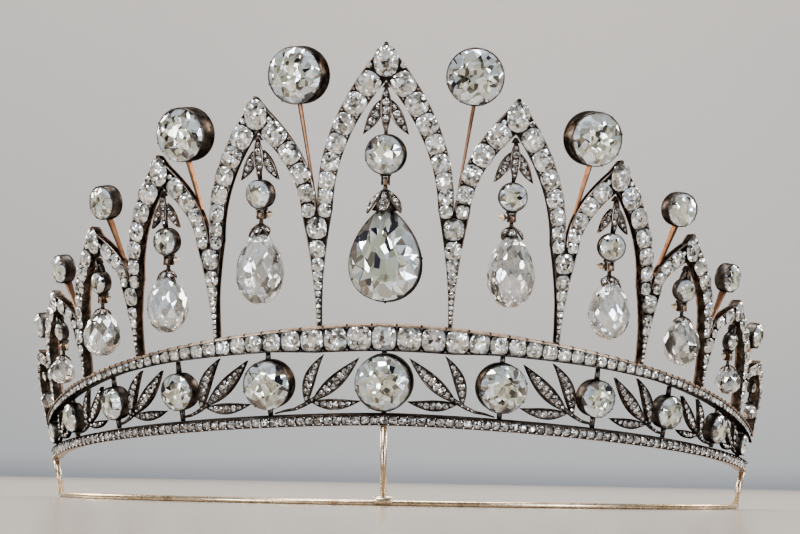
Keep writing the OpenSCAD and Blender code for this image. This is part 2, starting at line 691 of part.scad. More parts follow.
// Fork of two ears and a pin, whose middle is at the frame's origin
module fork(reach, tab) {
    for (side = [-1, 1]) {
        translate([side * (eye_t / 2 + seat_gap + ear_t / 2), 0, reach / 2 - ear_half_depth / 2])
            cube([ear_t, 2 * ear_half_depth, reach + ear_half_depth], center = true);
    }
    rotate([0, 90, 0])
        cylinder(h = eye_t + 2 * (seat_gap + pin_seat_share * ear_t), d = pin_d, center = true);
    if (tab != 0) {
        tab_l = eye_r() * tab_share;
        translate([tab * (eye_t / 2 + seat_gap + pin_seat_share * ear_t + tab_l / 2), 0, 0])
            cube([tab_l, ear_half_depth, eye_r()], center = true);
    }
}

// Static part of pendant k on the side given by side, -1 left and 1 right
module pendant(k, side) {
    t = side * arch_angle(k);
    on_front(t, pendant_z(k)) {
        collet(pendant_r(k));
        trefoil(k);
        translate([0, 0, -hinge_fall(k)])
            fork(hinge_fall(k) - pendant_r(k) + collet_wall, k == 0 ? 0 : -side);
    }
}

// Cup that holds the top of drop k, turned about the upright through the hinge; its
// neck starts at neck_z
module cap_cup(k, neck_z) {
    d1 = drop_length(k) / 2 * (1 - cos(cap_angle));
    taper = k == 0 ? pear_taper : drop_taper;
    r1 = drop_width(k) / 2 * drop_half(cap_angle, taper) + stone_gap;
    fall = drop_fall(k);
    shoulder = max(-eye_r() - cap_slope, cap_slope - fall);
    rotate_extrude()
        polygon([[0, neck_z], [neck_r, neck_z], [neck_r, shoulder],
                 [r1 + collet_wall, -fall - d1], [r1, -fall - d1], [0, seat_gap - fall]]);
}

module drop_cap(k, side) {
    hanging(side * arch_angle(k), hinge_z(k)) {
        difference() {
            union() {
                rotate([0, 90, 0]) cylinder(h = eye_t, r = eye_r(), center = true);
                cap_cup(k, pin_gap - eye_r());
                if (k == 0) {
                    pear_rim();
                }
            }
            rotate([0, 90, 0]) cylinder(h = 4 * eye_t, d = pin_d + 2 * pin_gap, center = true);
        }
    }
}

// Points of the pear's outline, grown by grow all round, under the hinge
function pear_outline(grow, sides) =
    [for (i = [0 : sides - 1]) let (a = 360 * i / sides)
        [(pear_w / 2 + grow) * sign(180 - a) * drop_half(min(a, 360 - a), pear_taper),
         (pear_l / 2 + grow) * cos(a) - drop_fall(0) - pear_l / 2]];

module pear_rim() {
    rotate([90, 0, 0]) linear_extrude(pear_rim_depth, center = true) difference() {
        polygon(pear_outline(stone_gap + pear_rim_w, pear_sides));
        polygon(pear_outline(stone_gap, pear_sides));
    }
    translate([0, 0, -drop_fall(0) - pear_l - stone_gap - pear_rim_w])
        rotate([90, 0, 0]) cylinder(h = pear_rim_depth * 1.2, r = pear_rim_w, center = true);
}

// Front drop: a pear-shaped stone with a table, 24 crown facets and 24 below
module pear_stone() {
    n = pear_sides;
    middle = -drop_fall(0) - pear_l * pear_middle;
    table_y = -pear_w * crown_share;
    edge = [for (p = pear_outline(0, n)) [p[0], 0, p[1]]];
    table = [for (p = edge) [p[0] * table_share, table_y, middle + (p[2] - middle) * table_share]];
    points = concat(table, edge, [[0, pear_w * pear_depth_share, middle]]);
    faces = concat([[for (i = [0 : n - 1]) i]],
        [for (i = [0 : n - 1]) let (j = (i + 1) % n) [j, i, n + i, n + j]],
        [for (i = [0 : n - 1]) let (j = (i + 1) % n) [n + j, n + i, 2 * n]]);
    hanging(0, hinge_z(0)) polyhedron(points, faces);
}

// Drop stone with triangular facets all round, its top in the cap
module drop_stone(k, side) {
    n = small_sides;
    m = len(DROP_RINGS);
    l = drop_length(k);
    top = -drop_fall(k);
    ring = [for (i = [0 : m - 1], j = [0 : n - 1])
        let (a = 360 * (j + i / 2) / n, r = drop_width(k) / 2 * drop_half(DROP_RINGS[i], drop_taper))
        [r * cos(a), r * sin(a), top - l / 2 * (1 - cos(DROP_RINGS[i]))]];
    points = concat([[0, 0, top]], ring, [[0, 0, top - l]]);
    bands = [for (i = [0 : m - 2], j = [0 : n - 1])
        each let (a = 1 + i * n + j, b = 1 + i * n + (j + 1) % n) [[a, b, a + n], [b, b + n, a + n]]];
    ends = [for (j = [0 : n - 1])
        each let (i = (j + 1) % n, low = 1 + (m - 1) * n)
            [[0, 1 + i, 1 + j], [low + j, low + i, m * n + 1]]];
    hanging(side * arch_angle(k), hinge_z(k)) polyhedron(points, concat(bands, ends));
}

module pendant_piece(k, side) {
    color("dimgray") pendant(k, side);
}

module cap_piece(k, side) {
    color("dimgray") drop_cap(k, side);
}

module drop_piece(k, side) {
    color("white") drop_stone(k, side);
}

module pendant_stones() {
    color("white") for (k = [-5 : 5]) {
        on_front(sign(k) * arch_angle(abs(k)), pendant_z(abs(k))) collet_stone(pendant_r(abs(k)));
    }
}

// Smallest pendants at the ends of the band, too small to be hinged
module end_pendants() {
    color("dimgray") for (side = [-1, 1]) {
        on_front(side * arch_angle(5), pendant_z(5)) {
            collet(pendant_r(5));
            trefoil(5);
            translate([0, 0, -hinge_fall(5)])
                cylinder(h = hinge_fall(5) - pendant_r(5) + collet_wall, d = pin_d);
        }
        hanging(side * arch_angle(5), hinge_z(5)) cap_cup(5, cap_slope);
    }
}

module end_drop_stones() {
    color("white") for (side = [-1, 1]) {
        drop_stone(5, side);
    }
}

// Base wire: it lies flat under the front, on the front's own oval at that height
module base_wire() {
    r = wire_d / 2 / cos(180 / wire_sides);
    points = [for (i = [0 : wire_steps])
        let (t = end_angle * (2 * i / wire_steps - 1))
        each [for (j = [0 : wire_sides - 1])
            let (a = 360 * (j + 0.5) / wire_sides)
            front_point(t, wire_d / 2) + r * (cos(a) * out_dir(t) + [0, 0, sin(a)])]];
    sides = [for (i = [0 : wire_steps - 1], j = [0 : wire_sides - 1])
        each let (a = i * wire_sides + j, b = i * wire_sides + (j + 1) % wire_sides)
            [[a, b, b + wire_sides], [a, b + wire_sides, a + wire_sides]]];
    first = [for (j = [wire_sides - 1 : -1 : 0]) j];
    last = [for (j = [0 : wire_sides - 1]) wire_steps * wire_sides + j];
    polyhedron(points, concat(sides, [first, last]));
}

module end_post(side) {
    t = side * end_angle;
    low = wire_d / 2;
    rise = (lower_bottom_z(t) - low) / cos(lean) - seat_gap;
    inset = side * post_d / 2 / mm_per_deg(t, low);
    on_front(t - inset, low) cylinder(h = rise, d = post_d);
}

module base_frame() {
    color("goldenrod") {
        base_wire();
        on_front(0, sleeve_d / 2 + seat_gap) rotate([0, 90, 0])
            cylinder(h = sleeve_l, d = sleeve_d, center = true);
        for (side = [-1, 1]) {
            end_post(side);
        }
        on_front(0, wire_d / 2)
            cylinder(h = (lower_bottom_z(0) - wire_d / 2) / cos(lean) - seat_gap, d = post_d);
    }
}

base_frame();
lower_rail();
upper_rail();
upper_rail_stones();
arcade();
arch_stones_centre();
arch_stones_left();
arch_stones_right();
frieze_collets();
frieze_stones();
leaf_sprays_left();
leaf_sprays_right();
stem_collets();
stem_stones();
pendant_stones();
end_pendants();
end_drop_stones();
pendant_piece(0, 1);  // pendant_centre
pendant_piece(1, -1);  // pendant_l1
pendant_piece(2, -1);  // pendant_l2
pendant_piece(3, -1);  // pendant_l3
pendant_piece(4, -1);  // pendant_l4
pendant_piece(1, 1);  // pendant_r1
pendant_piece(2, 1);  // pendant_r2
pendant_piece(3, 1);  // pendant_r3
pendant_piece(4, 1);  // pendant_r4
cap_piece(0, 1);  // drop_cap_centre
cap_piece(1, -1);  // drop_cap_l1
cap_piece(2, -1);  // drop_cap_l2
cap_piece(3, -1);  // drop_cap_l3
cap_piece(4, -1);  // drop_cap_l4
cap_piece(1, 1);  // drop_cap_r1
cap_piece(2, 1);  // drop_cap_r2
cap_piece(3, 1);  // drop_cap_r3
cap_piece(4, 1);  // drop_cap_r4
color("white") pear_stone();  // drop_centre
drop_piece(1, -1);  // drop_l1
drop_piece(2, -1);  // drop_l2
drop_piece(3, -1);  // drop_l3
drop_piece(4, -1);  // drop_l4
drop_piece(1, 1);  // drop_r1
drop_piece(2, 1);  // drop_r2
drop_piece(3, 1);  // drop_r3
drop_piece(4, 1);  // drop_r4
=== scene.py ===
"""Looks of a diadem: graduated pointed arches with hanging drops, on a band of round
collets and leaf sprays between two stone-set rails, standing on a wire base."""
import itertools
import math
import random

import bmesh
import bpy
from mathutils import Matrix, Vector


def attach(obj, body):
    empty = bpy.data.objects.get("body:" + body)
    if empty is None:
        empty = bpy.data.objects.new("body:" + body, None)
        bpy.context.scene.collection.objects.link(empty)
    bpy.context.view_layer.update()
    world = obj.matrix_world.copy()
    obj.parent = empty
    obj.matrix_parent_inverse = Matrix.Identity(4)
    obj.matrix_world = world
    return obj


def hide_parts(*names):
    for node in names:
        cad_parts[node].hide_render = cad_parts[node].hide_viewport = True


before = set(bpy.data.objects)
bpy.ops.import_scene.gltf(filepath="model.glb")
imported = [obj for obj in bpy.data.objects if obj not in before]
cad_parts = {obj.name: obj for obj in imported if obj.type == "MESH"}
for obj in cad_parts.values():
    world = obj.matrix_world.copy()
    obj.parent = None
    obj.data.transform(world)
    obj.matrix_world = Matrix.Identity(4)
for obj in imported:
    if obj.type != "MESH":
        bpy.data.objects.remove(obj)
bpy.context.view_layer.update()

# Sizes are in millimetres and angles in degrees, as in the part's own source
MM = 0.001

# Plan of the front: half width and half depth of its oval, the height at which they hold, the
# front's lean and the angle of its ends
PLAN_A, PLAN_B, PLAN_Z = 68.0, 58.0, 20.0
LEAN, END = 10.7, 78.0

# Upper rail: share of its front height by share of the way to the ends
RAIL_H = [(0, 1), (0.12, 0.96), (0.2, 0.8), (0.32, 0.66), (0.42, 0.54), (0.56, 0.42), (1, 0.34)]
# Rails: depth behind and before the front, back wall and softened edges
RAIL_BACK, RAIL_FRONT, RAIL_WALL, RAIL_SOFT, RAIL_STEPS = 1.3, 0.7, 0.5, 0.08, 132

# Angles of the arches' feet, as shares of the ends' angle
FOOT_SHARE = [0.116, 0.315, 0.5, 0.675, 0.85, 1]
# Arches: height, tip height and limb width as shares of the front arch's
ARCH_H, ARCH_TIP_H = 47.0, 6.4
ARCH = [(1, 1, 1), (0.845, 0.98, 0.95), (0.705, 0.93, 0.88),
        (0.53, 0.85, 0.76), (0.385, 0.68, 0.62), (0.25, 0.48, 0.5)]
LIMB_TOP_W, LIMB_NOTCH_W, ARCADE_DEPTH, LIMB_STEPS = 4.2, 2.6, 1.3, 26
NOTCH_SHARE, NOTCH_GAP = 0.45, 0.25
STALK_FOOT_W, STALK_TAPER, STALK_STEPS = 0.7, 1.75, 12
STEM_FOOT_W, STEM_TOP_W, STEM_FOOT_DEPTH, STEM_TOP_DEPTH, STEM_STEPS = 0.36, 0.56, 0.8, 1.7, 12

# Arch stones: height of the girdle over the front, radius as a share of the band's half width,
# since they overlap its walls, gap between two, and half the tip stone's share of the tip
GIRDLE, STONE_SPREAD, STONE_GAP, TIP_STONE_SHARE = 0.85, 1.08, 0.06, 0.4
# The stone at the notch is smaller, as a share, and so are its neighbours within a reach
NOTCH_STONE, NOTCH_REACH = 0.84, 0.2
# Place beside and below the tip stone of the two small stones at its shoulders
FRONT_SHOULDER, SIDE_SHOULDER = (1.36, 0.26), (1.2, 0.4)

# Stem collets: diameter, height as a share of the taller arch's, and way from the foot to the
# lower arch's middle
STEM_COLLET_D, PENDANT_COLLET_D, FRIEZE_COLLET_D = 10.2, 6.8, 9.6
STEM_COLLET = [(1, 0.895, 0.27), (0.96, 0.88, 0.4), (0.62, 0.82, 0.55),
               (0.53, 0.79, 0.45), (0.48, 0.78, 0.3)]
FRIEZE = [1, 0.88, 0.68, 0.62, 0.56, 0.42]
# Pendants: diameter, and height as a share of the arch's
PENDANT = [(1, 0.603), (0.73, 0.584), (0.7, 0.55), (0.6, 0.6), (0.5, 0.575), (0.34, 0.56)]
COLLET_DEPTH, COLLET_BACK, COLLET_WALL = 0.42, 0.6, 0.4
# Radius of the straight stem collets as a share of the tapered ones', and how far some collets
# have twisted, by number and side
STEM_SEAT = 0.95
STEM_TURN, FRIEZE_TURN = {(1, 1): -9, (1, -1): -9, (3, 1): -9}, {(0, 1): -7}
PENDANT_TURN = {(0, 1): -9, (1, -1): -13, (1, 1): -11, (2, 1): -13, (3, 1): -12}
PEAR_TURN = -8

# Drops: length, width and fall from the hinge to the top, as shares of the first pair's
DROP = [(1, 1, 1), (0.83, 0.89, 0.75), (0.66, 0.8, 0.66), (0.4, 0.58, 0.64), (0.23, 0.34, 0.26)]
DROP_L, DROP_W, DROP_FALL, DROP_TAPER = 12.6, 8.2, 2.5, 0.35
PEAR_L, PEAR_W, PEAR_FALL, PEAR_TAPER = 15.8, 12.0, 4.1, 0.6
PEAR_BELLY, PEAR_CROWN = 0.6, 0.16
# Hinges: eye, its room under the collet, pin, and the fork's ears
EYE_R, EYE_CLEAR, EYE_HALF, PIN_D = 0.76, 0.35, 0.33, 0.6
EAR_IN, EAR_T, EAR_R = 0.46, 0.22, 0.58
# Caps: start below the hinge, spread, length and width of a leaf, and stones on it
CAP_CENTRE, CAP_SIDE = (1.5, 32, 4.9, 2.4, 3), (1.5, 33, 2.7, 1.65, 1)
# Leaves of a cap: angle around the drop, and spread as a share
CAP_LEAVES = ((98, 0.8), (34, 1.15), (154, 1.1), (270, 1.0))

# Sprays: places along the way to the next collet and up between the rails, as shares, of the
# stem and of each leaf's base and tip, with the leaf's bow
SPRAY_ROOT, SPRAY_STEM_R, SPRAY_STEM_W = (0.05, 0.035), 0.36, 0.6
SPRAY_STEM = [(0.03, 0.07), (0.13, 0.09), (0.22, 0.15), (0.34, 0.26)]
SPRAY_LEAVES = [((0.25, 0.16), (0.49, 0.97), -0.1), ((0.31, 0.22), (0.79, 0.9), 0.02),
                ((0.3, 0.2), (0.8, 0.2), 0.06)]
LEAF_W, LEAF_STEPS = 0.23, 16
TREFOIL_W, TREFOIL_TOP_GAP = 0.21, 0.3
SEAT_GAP, TABLE = 0.1, 0.52

# Base: wire, posts, sleeve and the beads where the wire meets the end posts
WIRE_D, POST_D, SLEEVE_D, SLEEVE_L, END_BEAD_R = 1.0, 1.1, 1.6, 3.2, 0.7
WIRE_SIDES, WIRE_STEPS = 14, 160

# Camera: distance and height in millimetres from the front of the plan oval
CAMERA_DISTANCE, CAMERA_HEIGHT, CAMERA_SIDE = 400.6, 5.65, 2.33
CAMERA_PITCH, CAMERA_YAW, CAMERA_ROLL = 4.92, -2.93, 1.01
FOCAL_PIXELS, IMAGE_WIDTH, SENSOR = 2386.8, 800, 36.0

# Names of the swinging drops, by number and side
BODY = {(0, 1): "centre"}
for number in (1, 2, 3, 4):
    BODY[number, -1] = f"l{number}"
    BODY[number, 1] = f"r{number}"


def sin(a):
    return math.sin(math.radians(a))


def cos(a):
    return math.cos(math.radians(a))


def tan(a):
    return math.tan(math.radians(a))


def lookup(x, table):
    """Linear interpolation in a table of (x, y) pairs with rising x."""
    if x <= table[0][0]:
        return table[0][1]
    for (x0, y0), (x1, y1) in zip(table, table[1:]):
        if x <= x1:
            return y0 + (y1 - y0) * (x - x0) / (x1 - x0)
    return table[-1][1]


# The front's own geometry
UP = Vector((0, 0, 1))


def heading(t):
    return math.degrees(math.atan2(PLAN_B * sin(t), PLAN_A * cos(t)))


def out_dir(t):
    return Vector((sin(heading(t)), -cos(heading(t)), 0))


def along_dir(t):
    return Vector((cos(heading(t)), sin(heading(t)), 0))


def up_dir(t):
    return cos(LEAN) * UP + sin(LEAN) * out_dir(t)


def face_dir(t):
    return cos(LEAN) * out_dir(t) - sin(LEAN) * UP


def lean_offset(z):
    return (z - PLAN_Z) * tan(LEAN)


def front_point(t, z):
    return Vector((PLAN_A * sin(t), PLAN_B * (1 - cos(t)), z)) + lean_offset(z) * out_dir(t)


def mm_per_deg(t, z):
    speed = math.hypot(PLAN_A * cos(t), PLAN_B * sin(t))
    return (speed + lean_offset(z) * PLAN_A * PLAN_B / (speed * speed)) * math.pi / 180


class Rail:
    """A rail: its top at the front with that top's fall to the ends and the fall's power, its
    height at the front and shares of it along the way, its lips below and above the stones, and
    the materials of its channel's sides."""

    def __init__(self, top, front_h, shares, lips, marks):
        self.top, self.front_h, self.shares, self.marks = top, front_h, shares, marks
        self.low_lip, self.top_lip = lips

    def top_z(self, t):
        front_z, fall, power = self.top
        return front_z - fall * (abs(t) / END) ** power

    def height(self, t):
        return self.front_h * lookup(abs(t) / END, self.shares)

    def bottom_z(self, t):
        return self.top_z(t) - self.height(t) * cos(LEAN)

    def point(self, t, out, down):
        return on_front(t, self.top_z(t)).at(0, -down, out)

    def band(self):
        """The rail's channel."""
        soft, inside = RAIL_FRONT - RAIL_SOFT, RAIL_WALL - RAIL_BACK
        shape, rings = Shape(), []
        for i in range(RAIL_STEPS + 1):
            t = END * (2 * i / RAIL_STEPS - 1)
            h = self.height(t)
            low = h - self.low_lip
            rings.append([self.point(t, out, down) for out, down in (
                (soft, 0), (-RAIL_BACK, 0), (-RAIL_BACK, h), (soft, h), (RAIL_FRONT, h - RAIL_SOFT),
                (RAIL_FRONT, low), (inside, low), (inside, self.top_lip),
                (RAIL_FRONT, self.top_lip), (RAIL_FRONT, RAIL_SOFT))])
        sweep(shape, rings, marks=self.marks)
        return shape

    def radius(self, t):
        return (self.height(t) - self.low_lip - self.top_lip) / 2

    def seats(self, gap, end=END - 0.6):
        """Angle, radius and spot of each stone, from left to right."""
        half, t = [0.0], 0.0
        while True:
            z, r = self.top_z(t), self.radius(t)
            after = self.radius(t + 2 * r / mm_per_deg(t, z))
            t += (r + after + gap) / mm_per_deg(t, z)
            if t + after / mm_per_deg(t, z) > end:
                break
            half.append(t)
        seats = []
        for t in [-t for t in reversed(half[1:])] + half:
            z = self.top_z(t) - (self.height(t) + self.top_lip - self.low_lip) / 2 * cos(LEAN)
            seats.append((t, self.radius(t), on_front(t, z).moved(0, 0, RAIL_FRONT * 0.6)))
        return seats


# Warm metal shows on the upper rail's top, upper lip and back, and on the lower one's back and
# foot, and the rest of both is silver
UPPER = Rail((30.4, 16.5, 1.6), 4.6, RAIL_H, (0.22, 0.36), [1, 1, 0, 0, 0, 0, 0, 0, 1, 1])
LOWER = Rail((15.4, 6.6, 1.5), 1.9, [(0, 1)], (0.16, 0.32), [0, 1, 1, 1, 0, 0, 0, 0, 0, 0])


def foot_t(k):
    return END * FOOT_SHARE[k - 1]


def arch_t(k):
    return 0 if k == 0 else (foot_t(k) + foot_t(k + 1)) / 2


def arch_h(k):
    return ARCH_H * ARCH[k][0]


def tip_z(k):
    return UPPER.top_z(arch_t(k)) + arch_h(k) * cos(LEAN)


def inner_z(k):
    return tip_z(k) - ARCH_TIP_H * ARCH[k][1] * cos(LEAN)


def limb_w(k, q):
    return ARCH[k][2] * (LIMB_NOTCH_W + (LIMB_TOP_W - LIMB_NOTCH_W) * q)


def notch_z(k):
    low = arch_h(5) if k == 6 else (arch_h(k) + arch_h(k - 1)) / 2
    return UPPER.top_z(foot_t(k)) + NOTCH_SHARE * low * cos(LEAN)


def limb_foot(k, toward):
    """Number of the foot on which a limb stands."""
    return k if k > 0 and toward < 0 else k + 1


def limb_t(k, toward, q):
    """Plan angle of a limb's middle line: q is 0 at the notch and 1 at the arch's middle."""
    foot = limb_foot(k, toward)
    edge = toward * foot_t(1) if k == 0 else foot_t(foot)
    inset = (limb_w(k, 0) + NOTCH_GAP) / 2 / mm_per_deg(edge, notch_z(foot))
    start = edge - toward * inset
    return arch_t(k) + (start - arch_t(k)) * (1 - q * q)


def limb_z(k, toward, q):
    low = notch_z(limb_foot(k, toward))
    return low + q * ((tip_z(k) + inner_z(k)) / 2 - low)


def limb_point(k, toward, q):
    return front_point(limb_t(k, toward, q), limb_z(k, toward, q))


def limb_run(k, toward, q, step=0.01):
    """Short stretch of a limb's middle line, towards its arch's tip."""
    return limb_point(k, toward, q + step) - limb_point(k, toward, q - step)


def stem_collet_r(k):
    return STEM_COLLET_D / 2 * STEM_COLLET[k - 1][0]


def stem_collet_t(k):
    return foot_t(k) + STEM_COLLET[k - 1][2] * (arch_t(k) - foot_t(k))


def stem_collet_z(k):
    rise = arch_h(k - 1) * STEM_COLLET[k - 1][1] * cos(LEAN)
    return UPPER.top_z(foot_t(k)) + rise


def frieze_r(k):
    return FRIEZE_COLLET_D / 2 * FRIEZE[k]


def frieze_middle_z(t):
    return (UPPER.bottom_z(t) + LOWER.top_z(t)) / 2


def pendant_r(k):
    return PENDANT_COLLET_D / 2 * PENDANT[k][0]


def pendant_z(k):
    return UPPER.top_z(arch_t(k)) + PENDANT[k][1] * arch_h(k) * cos(LEAN)


def hinge_z(k):
    return pendant_z(k) - (pendant_r(k) + EYE_R + EYE_CLEAR) * cos(LEAN)


def drop_size(k):
    """Length, width, fall from the hinge and taper of a drop."""
    if k == 0:
        return PEAR_L, PEAR_W, PEAR_FALL, PEAR_TAPER
    share = DROP[k - 1]
    return DROP_L * share[0], DROP_W * share[1], DROP_FALL * share[2], DROP_TAPER


def drop_half(a, taper):
    """Half width of a drop at angle a from its top, as a share of its greatest one."""
    def shape(b):
        return sin(b) * sin(b / 2) ** taper
    return shape(a) / max(shape(b) for b in range(70, 131, 5))


# Places, shapes and simple forms


class Spot:
    """A place with its own directions: right along the band, up it, and out of it."""

    def __init__(self, origin, right, up, out):
        self.origin, self.right, self.up, self.out = origin, right, up, out

    def at(self, x, y, z=0.0):
        return self.origin + x * self.right + y * self.up + z * self.out

    def moved(self, x, y, z=0.0):
        return Spot(self.at(x, y, z), self.right, self.up, self.out)

    def turned(self, angle):
        """The same place facing further to the right by an angle about the vertical."""
        turn = Matrix.Rotation(math.radians(angle), 3, "Z")
        return Spot(self.origin, turn @ self.right, turn @ self.up, turn @ self.out)

    def tilted(self, roll, nod, turn):
        """The same place with its directions turned by small angles."""
        right = (self.right + tan(turn) * self.out).normalized()
        up = (self.up + tan(nod) * self.out).normalized()
        out = right.cross(up).normalized()
        up = out.cross(right)
        return Spot(self.origin, cos(roll) * right + sin(roll) * up,
                    cos(roll) * up - sin(roll) * right, out)

    def along(self):
        """The same place facing along the band."""
        return Spot(self.origin, self.up, self.out, self.right)


def on_front(t, z):
    return Spot(front_point(t, z), along_dir(t), up_dir(t), face_dir(t))


def hanging(t, z):
    return Spot(front_point(t, z), along_dir(t), UP, out_dir(t))


def linked(name, data):
    """New object in the scene."""
    obj = bpy.data.objects.new(name, data)
    bpy.context.scene.collection.objects.link(obj)
    return obj


class Shape:
    """Vertices and faces of one piece, gathered in millimetres. A face's mark is the number of
    its material."""

    def __init__(self):
        self.points, self.faces, self.marks, self.smooth = [], [], [], []

    def add(self, points, faces, mark=0, smooth=False):
        base = len(self.points)
        self.points += points
        self.faces += [[base + i for i in face] for face in faces]
        self.marks += mark if isinstance(mark, list) else [mark] * len(faces)
        self.smooth += smooth if isinstance(smooth, list) else [smooth] * len(faces)

    def make(self, name, materials, slot, *replaces, body="frame"):
        """The finished piece, with its materials, riding on its body."""
        mesh = bpy.data.meshes.new(name)
        mesh.from_pydata([p * MM for p in self.points], [], self.faces)
        for polygon, mark, smooth in zip(mesh.polygons, self.marks, self.smooth):
            polygon.material_index = mark
            polygon.use_smooth = smooth
        for material in materials:
            mesh.materials.append(material)
        work = bmesh.new()
        work.from_mesh(mesh)
        bmesh.ops.recalc_face_normals(work, faces=work.faces)
        work.to_mesh(mesh)
        work.free()
        obj = linked(name, mesh)
        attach(obj, body)
        if replaces:
            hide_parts(*replaces)


def mirrored(points, side):
    return [Vector((side * p.x, p.y, p.z)) for p in points]


def sweep(shape, rings, mark=0, smooth=False, marks=None):
    """Closed skin over rings of equal length; marks gives each side's own material."""
    n, last = len(rings[0]), len(rings) - 1
    faces, side_marks = [], []
    for j in range(n):
        after = (j + 1) % n
        faces += [[i * n + j, i * n + after, (i + 1) * n + after, (i + 1) * n + j] for i in range(last)]
        side_marks += [marks[j] if marks else mark] * last
    ends = [list(range(n)), [last * n + i for i in range(n)]]
    shape.add([p for ring in rings for p in ring], faces + ends, side_marks + [mark] * 2,
              [smooth] * len(faces) + [False] * 2)


def lathe(shape, spot, profile, sides=48, mark=0):
    """Closed profile of (radius, out) pairs turned about the spot's outward axis."""
    n = len(profile)
    points = [spot.at(r * cos(360 * i / sides), r * sin(360 * i / sides), z)
              for i in range(sides) for r, z in profile]
    faces = [[i * n + j, i * n + (j + 1) % n,
              (i + 1) % sides * n + (j + 1) % n, (i + 1) % sides * n + j]
             for i in range(sides) for j in range(n)]
    shape.add(points, faces, mark, True)


def both_ways(profile):
    """Profile of one end of a turned form, and its mirror at the other."""
    return [(r, -z) for r, z in profile] + profile[::-1]


def slab(shape, spot, x, y, z):
    """Block between pairs of places along the spot's three directions."""
    corners = ((y[0], z[0]), (y[1], z[0]), (y[1], z[1]), (y[0], z[1]))
    sweep(shape, [[spot.at(x0, y0, z0) for y0, z0 in corners] for x0 in x])


def rod(shape, a, b, r0, r1=None, sides=10, mark=0):
    """Round bar from a to b."""
    r1 = r0 if r1 is None else r1
    d = (b - a).normalized()
    side = d.orthogonal().normalized()
    other = d.cross(side)
    rings = [[p + r * (cos(360 * i / sides) * side + sin(360 * i / sides) * other)
              for i in range(sides)] for p, r in ((a, r0), (b, r1))]
    sweep(shape, rings, mark, True)


# A bead is a ball of twenty triangles: its corners lie on three golden rectangles, and its
# faces join the corners that lie within a reach of each other
GOLDEN = (1 + math.sqrt(5)) / 2
BEAD_REACH = 1.1
BEAD_POINTS = [Vector(p).normalized() for a in (-1, 1) for b in (-GOLDEN, GOLDEN)
               for p in ((0, a, b), (a, b, 0), (b, 0, a))]
BEAD_FACES = [list(three) for three in itertools.combinations(range(len(BEAD_POINTS)), 3)
              if all((BEAD_POINTS[i] - BEAD_POINTS[j]).length < BEAD_REACH
                     for i, j in itertools.combinations(three, 2))]


def bead(shape, centre, r, mark=0):
    """Small round grain of metal."""
    shape.add([centre + r * p for p in BEAD_POINTS], BEAD_FACES, mark, True)


# Stones


def cushion(a, squareness):
    """Radius at angle a of an outline between a circle (2) and a rounded square."""
    return (abs(cos(a)) ** squareness + abs(sin(a)) ** squareness) ** (-1 / squareness)


def cut_stone(shape, n, outline, levels, point, kites):
    """Stone with a table of n corners, n stars, n kites, 2n halves and a pavilion; outline gives
    the place at an angle, a share of the girdle and a height, levels the (share, height) of each
    ring of corners, and kites is the material of the facets around the table."""
    points = []
    for (share, z), count, turn in zip(levels, (n, n, 2 * n, n), (0, 0.5, 0, 0.5)):
        points += [outline(360 * (i + turn) / count, share, z) for i in range(count)]
    faces, marks = [list(range(n))], [0]
    for i in range(n):
        after, before = (i + 1) % n, (i - 1) % n
        star, girdle, low = n + i, 2 * n + 2 * i, 4 * n + i
        middle, beyond = girdle + 1, 2 * n + 2 * after
        faces += [[i, after, star], [i, star, girdle, n + before], [star, girdle, middle],
                  [star, middle, beyond], [girdle, middle, low], [middle, beyond, low],
                  [girdle, low, 5 * n, 4 * n + before]]
        marks += [0, kites, kites, kites, 0, 0, 0]
    shape.add(points + [point], faces, marks)


def old_cut(shape, spot, rx, ry, crown, depth, squareness=2.0, kites=0):
    """Old-cut stone of two radii, with eight sides to its table."""
    def outline(a, share, z):
        r = share * cushion(a, squareness)
        return spot.at(rx * r * cos(a), ry * r * sin(a), z)

    levels = (TABLE, crown), (0.79, 0.66 * crown), (1, 0), (0.5, -0.62 * depth)
    cut_stone(shape, 8, outline, levels, spot.at(0, 0, -depth), kites)


def strips(start, sides, rings):
    """Three-cornered faces between rings of corners, each ring turned by half a side."""
    faces = []
    for k in range(rings - 1):
        for i in range(sides):
            a, b = start + k * sides + i, start + k * sides + (i + 1) % sides
            faces += [[a, b, a + sides], [b, b + sides, a + sides]]
    return faces


def rose(shape, spot, r, crown, sides=8):
    """Small stone of a pave row."""
    levels = (0.5, crown), (0.85, 0.55 * crown), (1, 0), (0.6, -0.8 * crown)
    points = []
    for k, (share, z) in enumerate(levels):
        for i in range(sides):
            a = 360 * (i + k / 2) / sides
            points.append(spot.at(share * r * cos(a), share * r * sin(a), z))
    ends = [list(range(sides)), [3 * sides + i for i in range(sides)]]
    shape.add(points, ends + strips(0, sides, len(levels)))


rng = random.Random(11)


def jittered(spot, tilt=4.0, turn=22.5):
    """The spot turned at random about its own axis, with a slight random tilt."""
    return spot.tilted(rng.uniform(-turn, turn), rng.uniform(-tilt, tilt), rng.uniform(-tilt, tilt))


def collet(setting, stones, spot, r, claws=8, seat=1.0):
    """Straight-walled round collet, its stone and the small claws over the stone's edge. It
    sits in the place of a tapered one of radius r, and seat is its own share of that."""
    depth = 2 * r * COLLET_DEPTH
    outer, back, front = r * seat, -depth * COLLET_BACK, depth * (1 - COLLET_BACK)
    profile = ((0.5, back), (0.3, back), (0.08, back + 0.2), (0, back + 0.7), (0, front - 0.3),
               (0.06, front), (0.16, front + 0.03), (0.5, front - 0.4))
    lathe(setting, spot, [(outer - inset, z) for inset, z in profile])
    girdle, claw_at = outer - 0.17, outer - 0.13
    old_cut(stones, jittered(spot.moved(0, 0, front - 0.05), 2), girdle, girdle,
            0.3 * girdle, (front - back) * 0.8, 2.12, 1)
    for i in range(claws):
        a = 15 + 360 * i / claws
        claw = spot.at(claw_at * cos(a), claw_at * sin(a), front + 0.05)
        bead(setting, claw, 0.035 * outer + 0.07)


# Materials


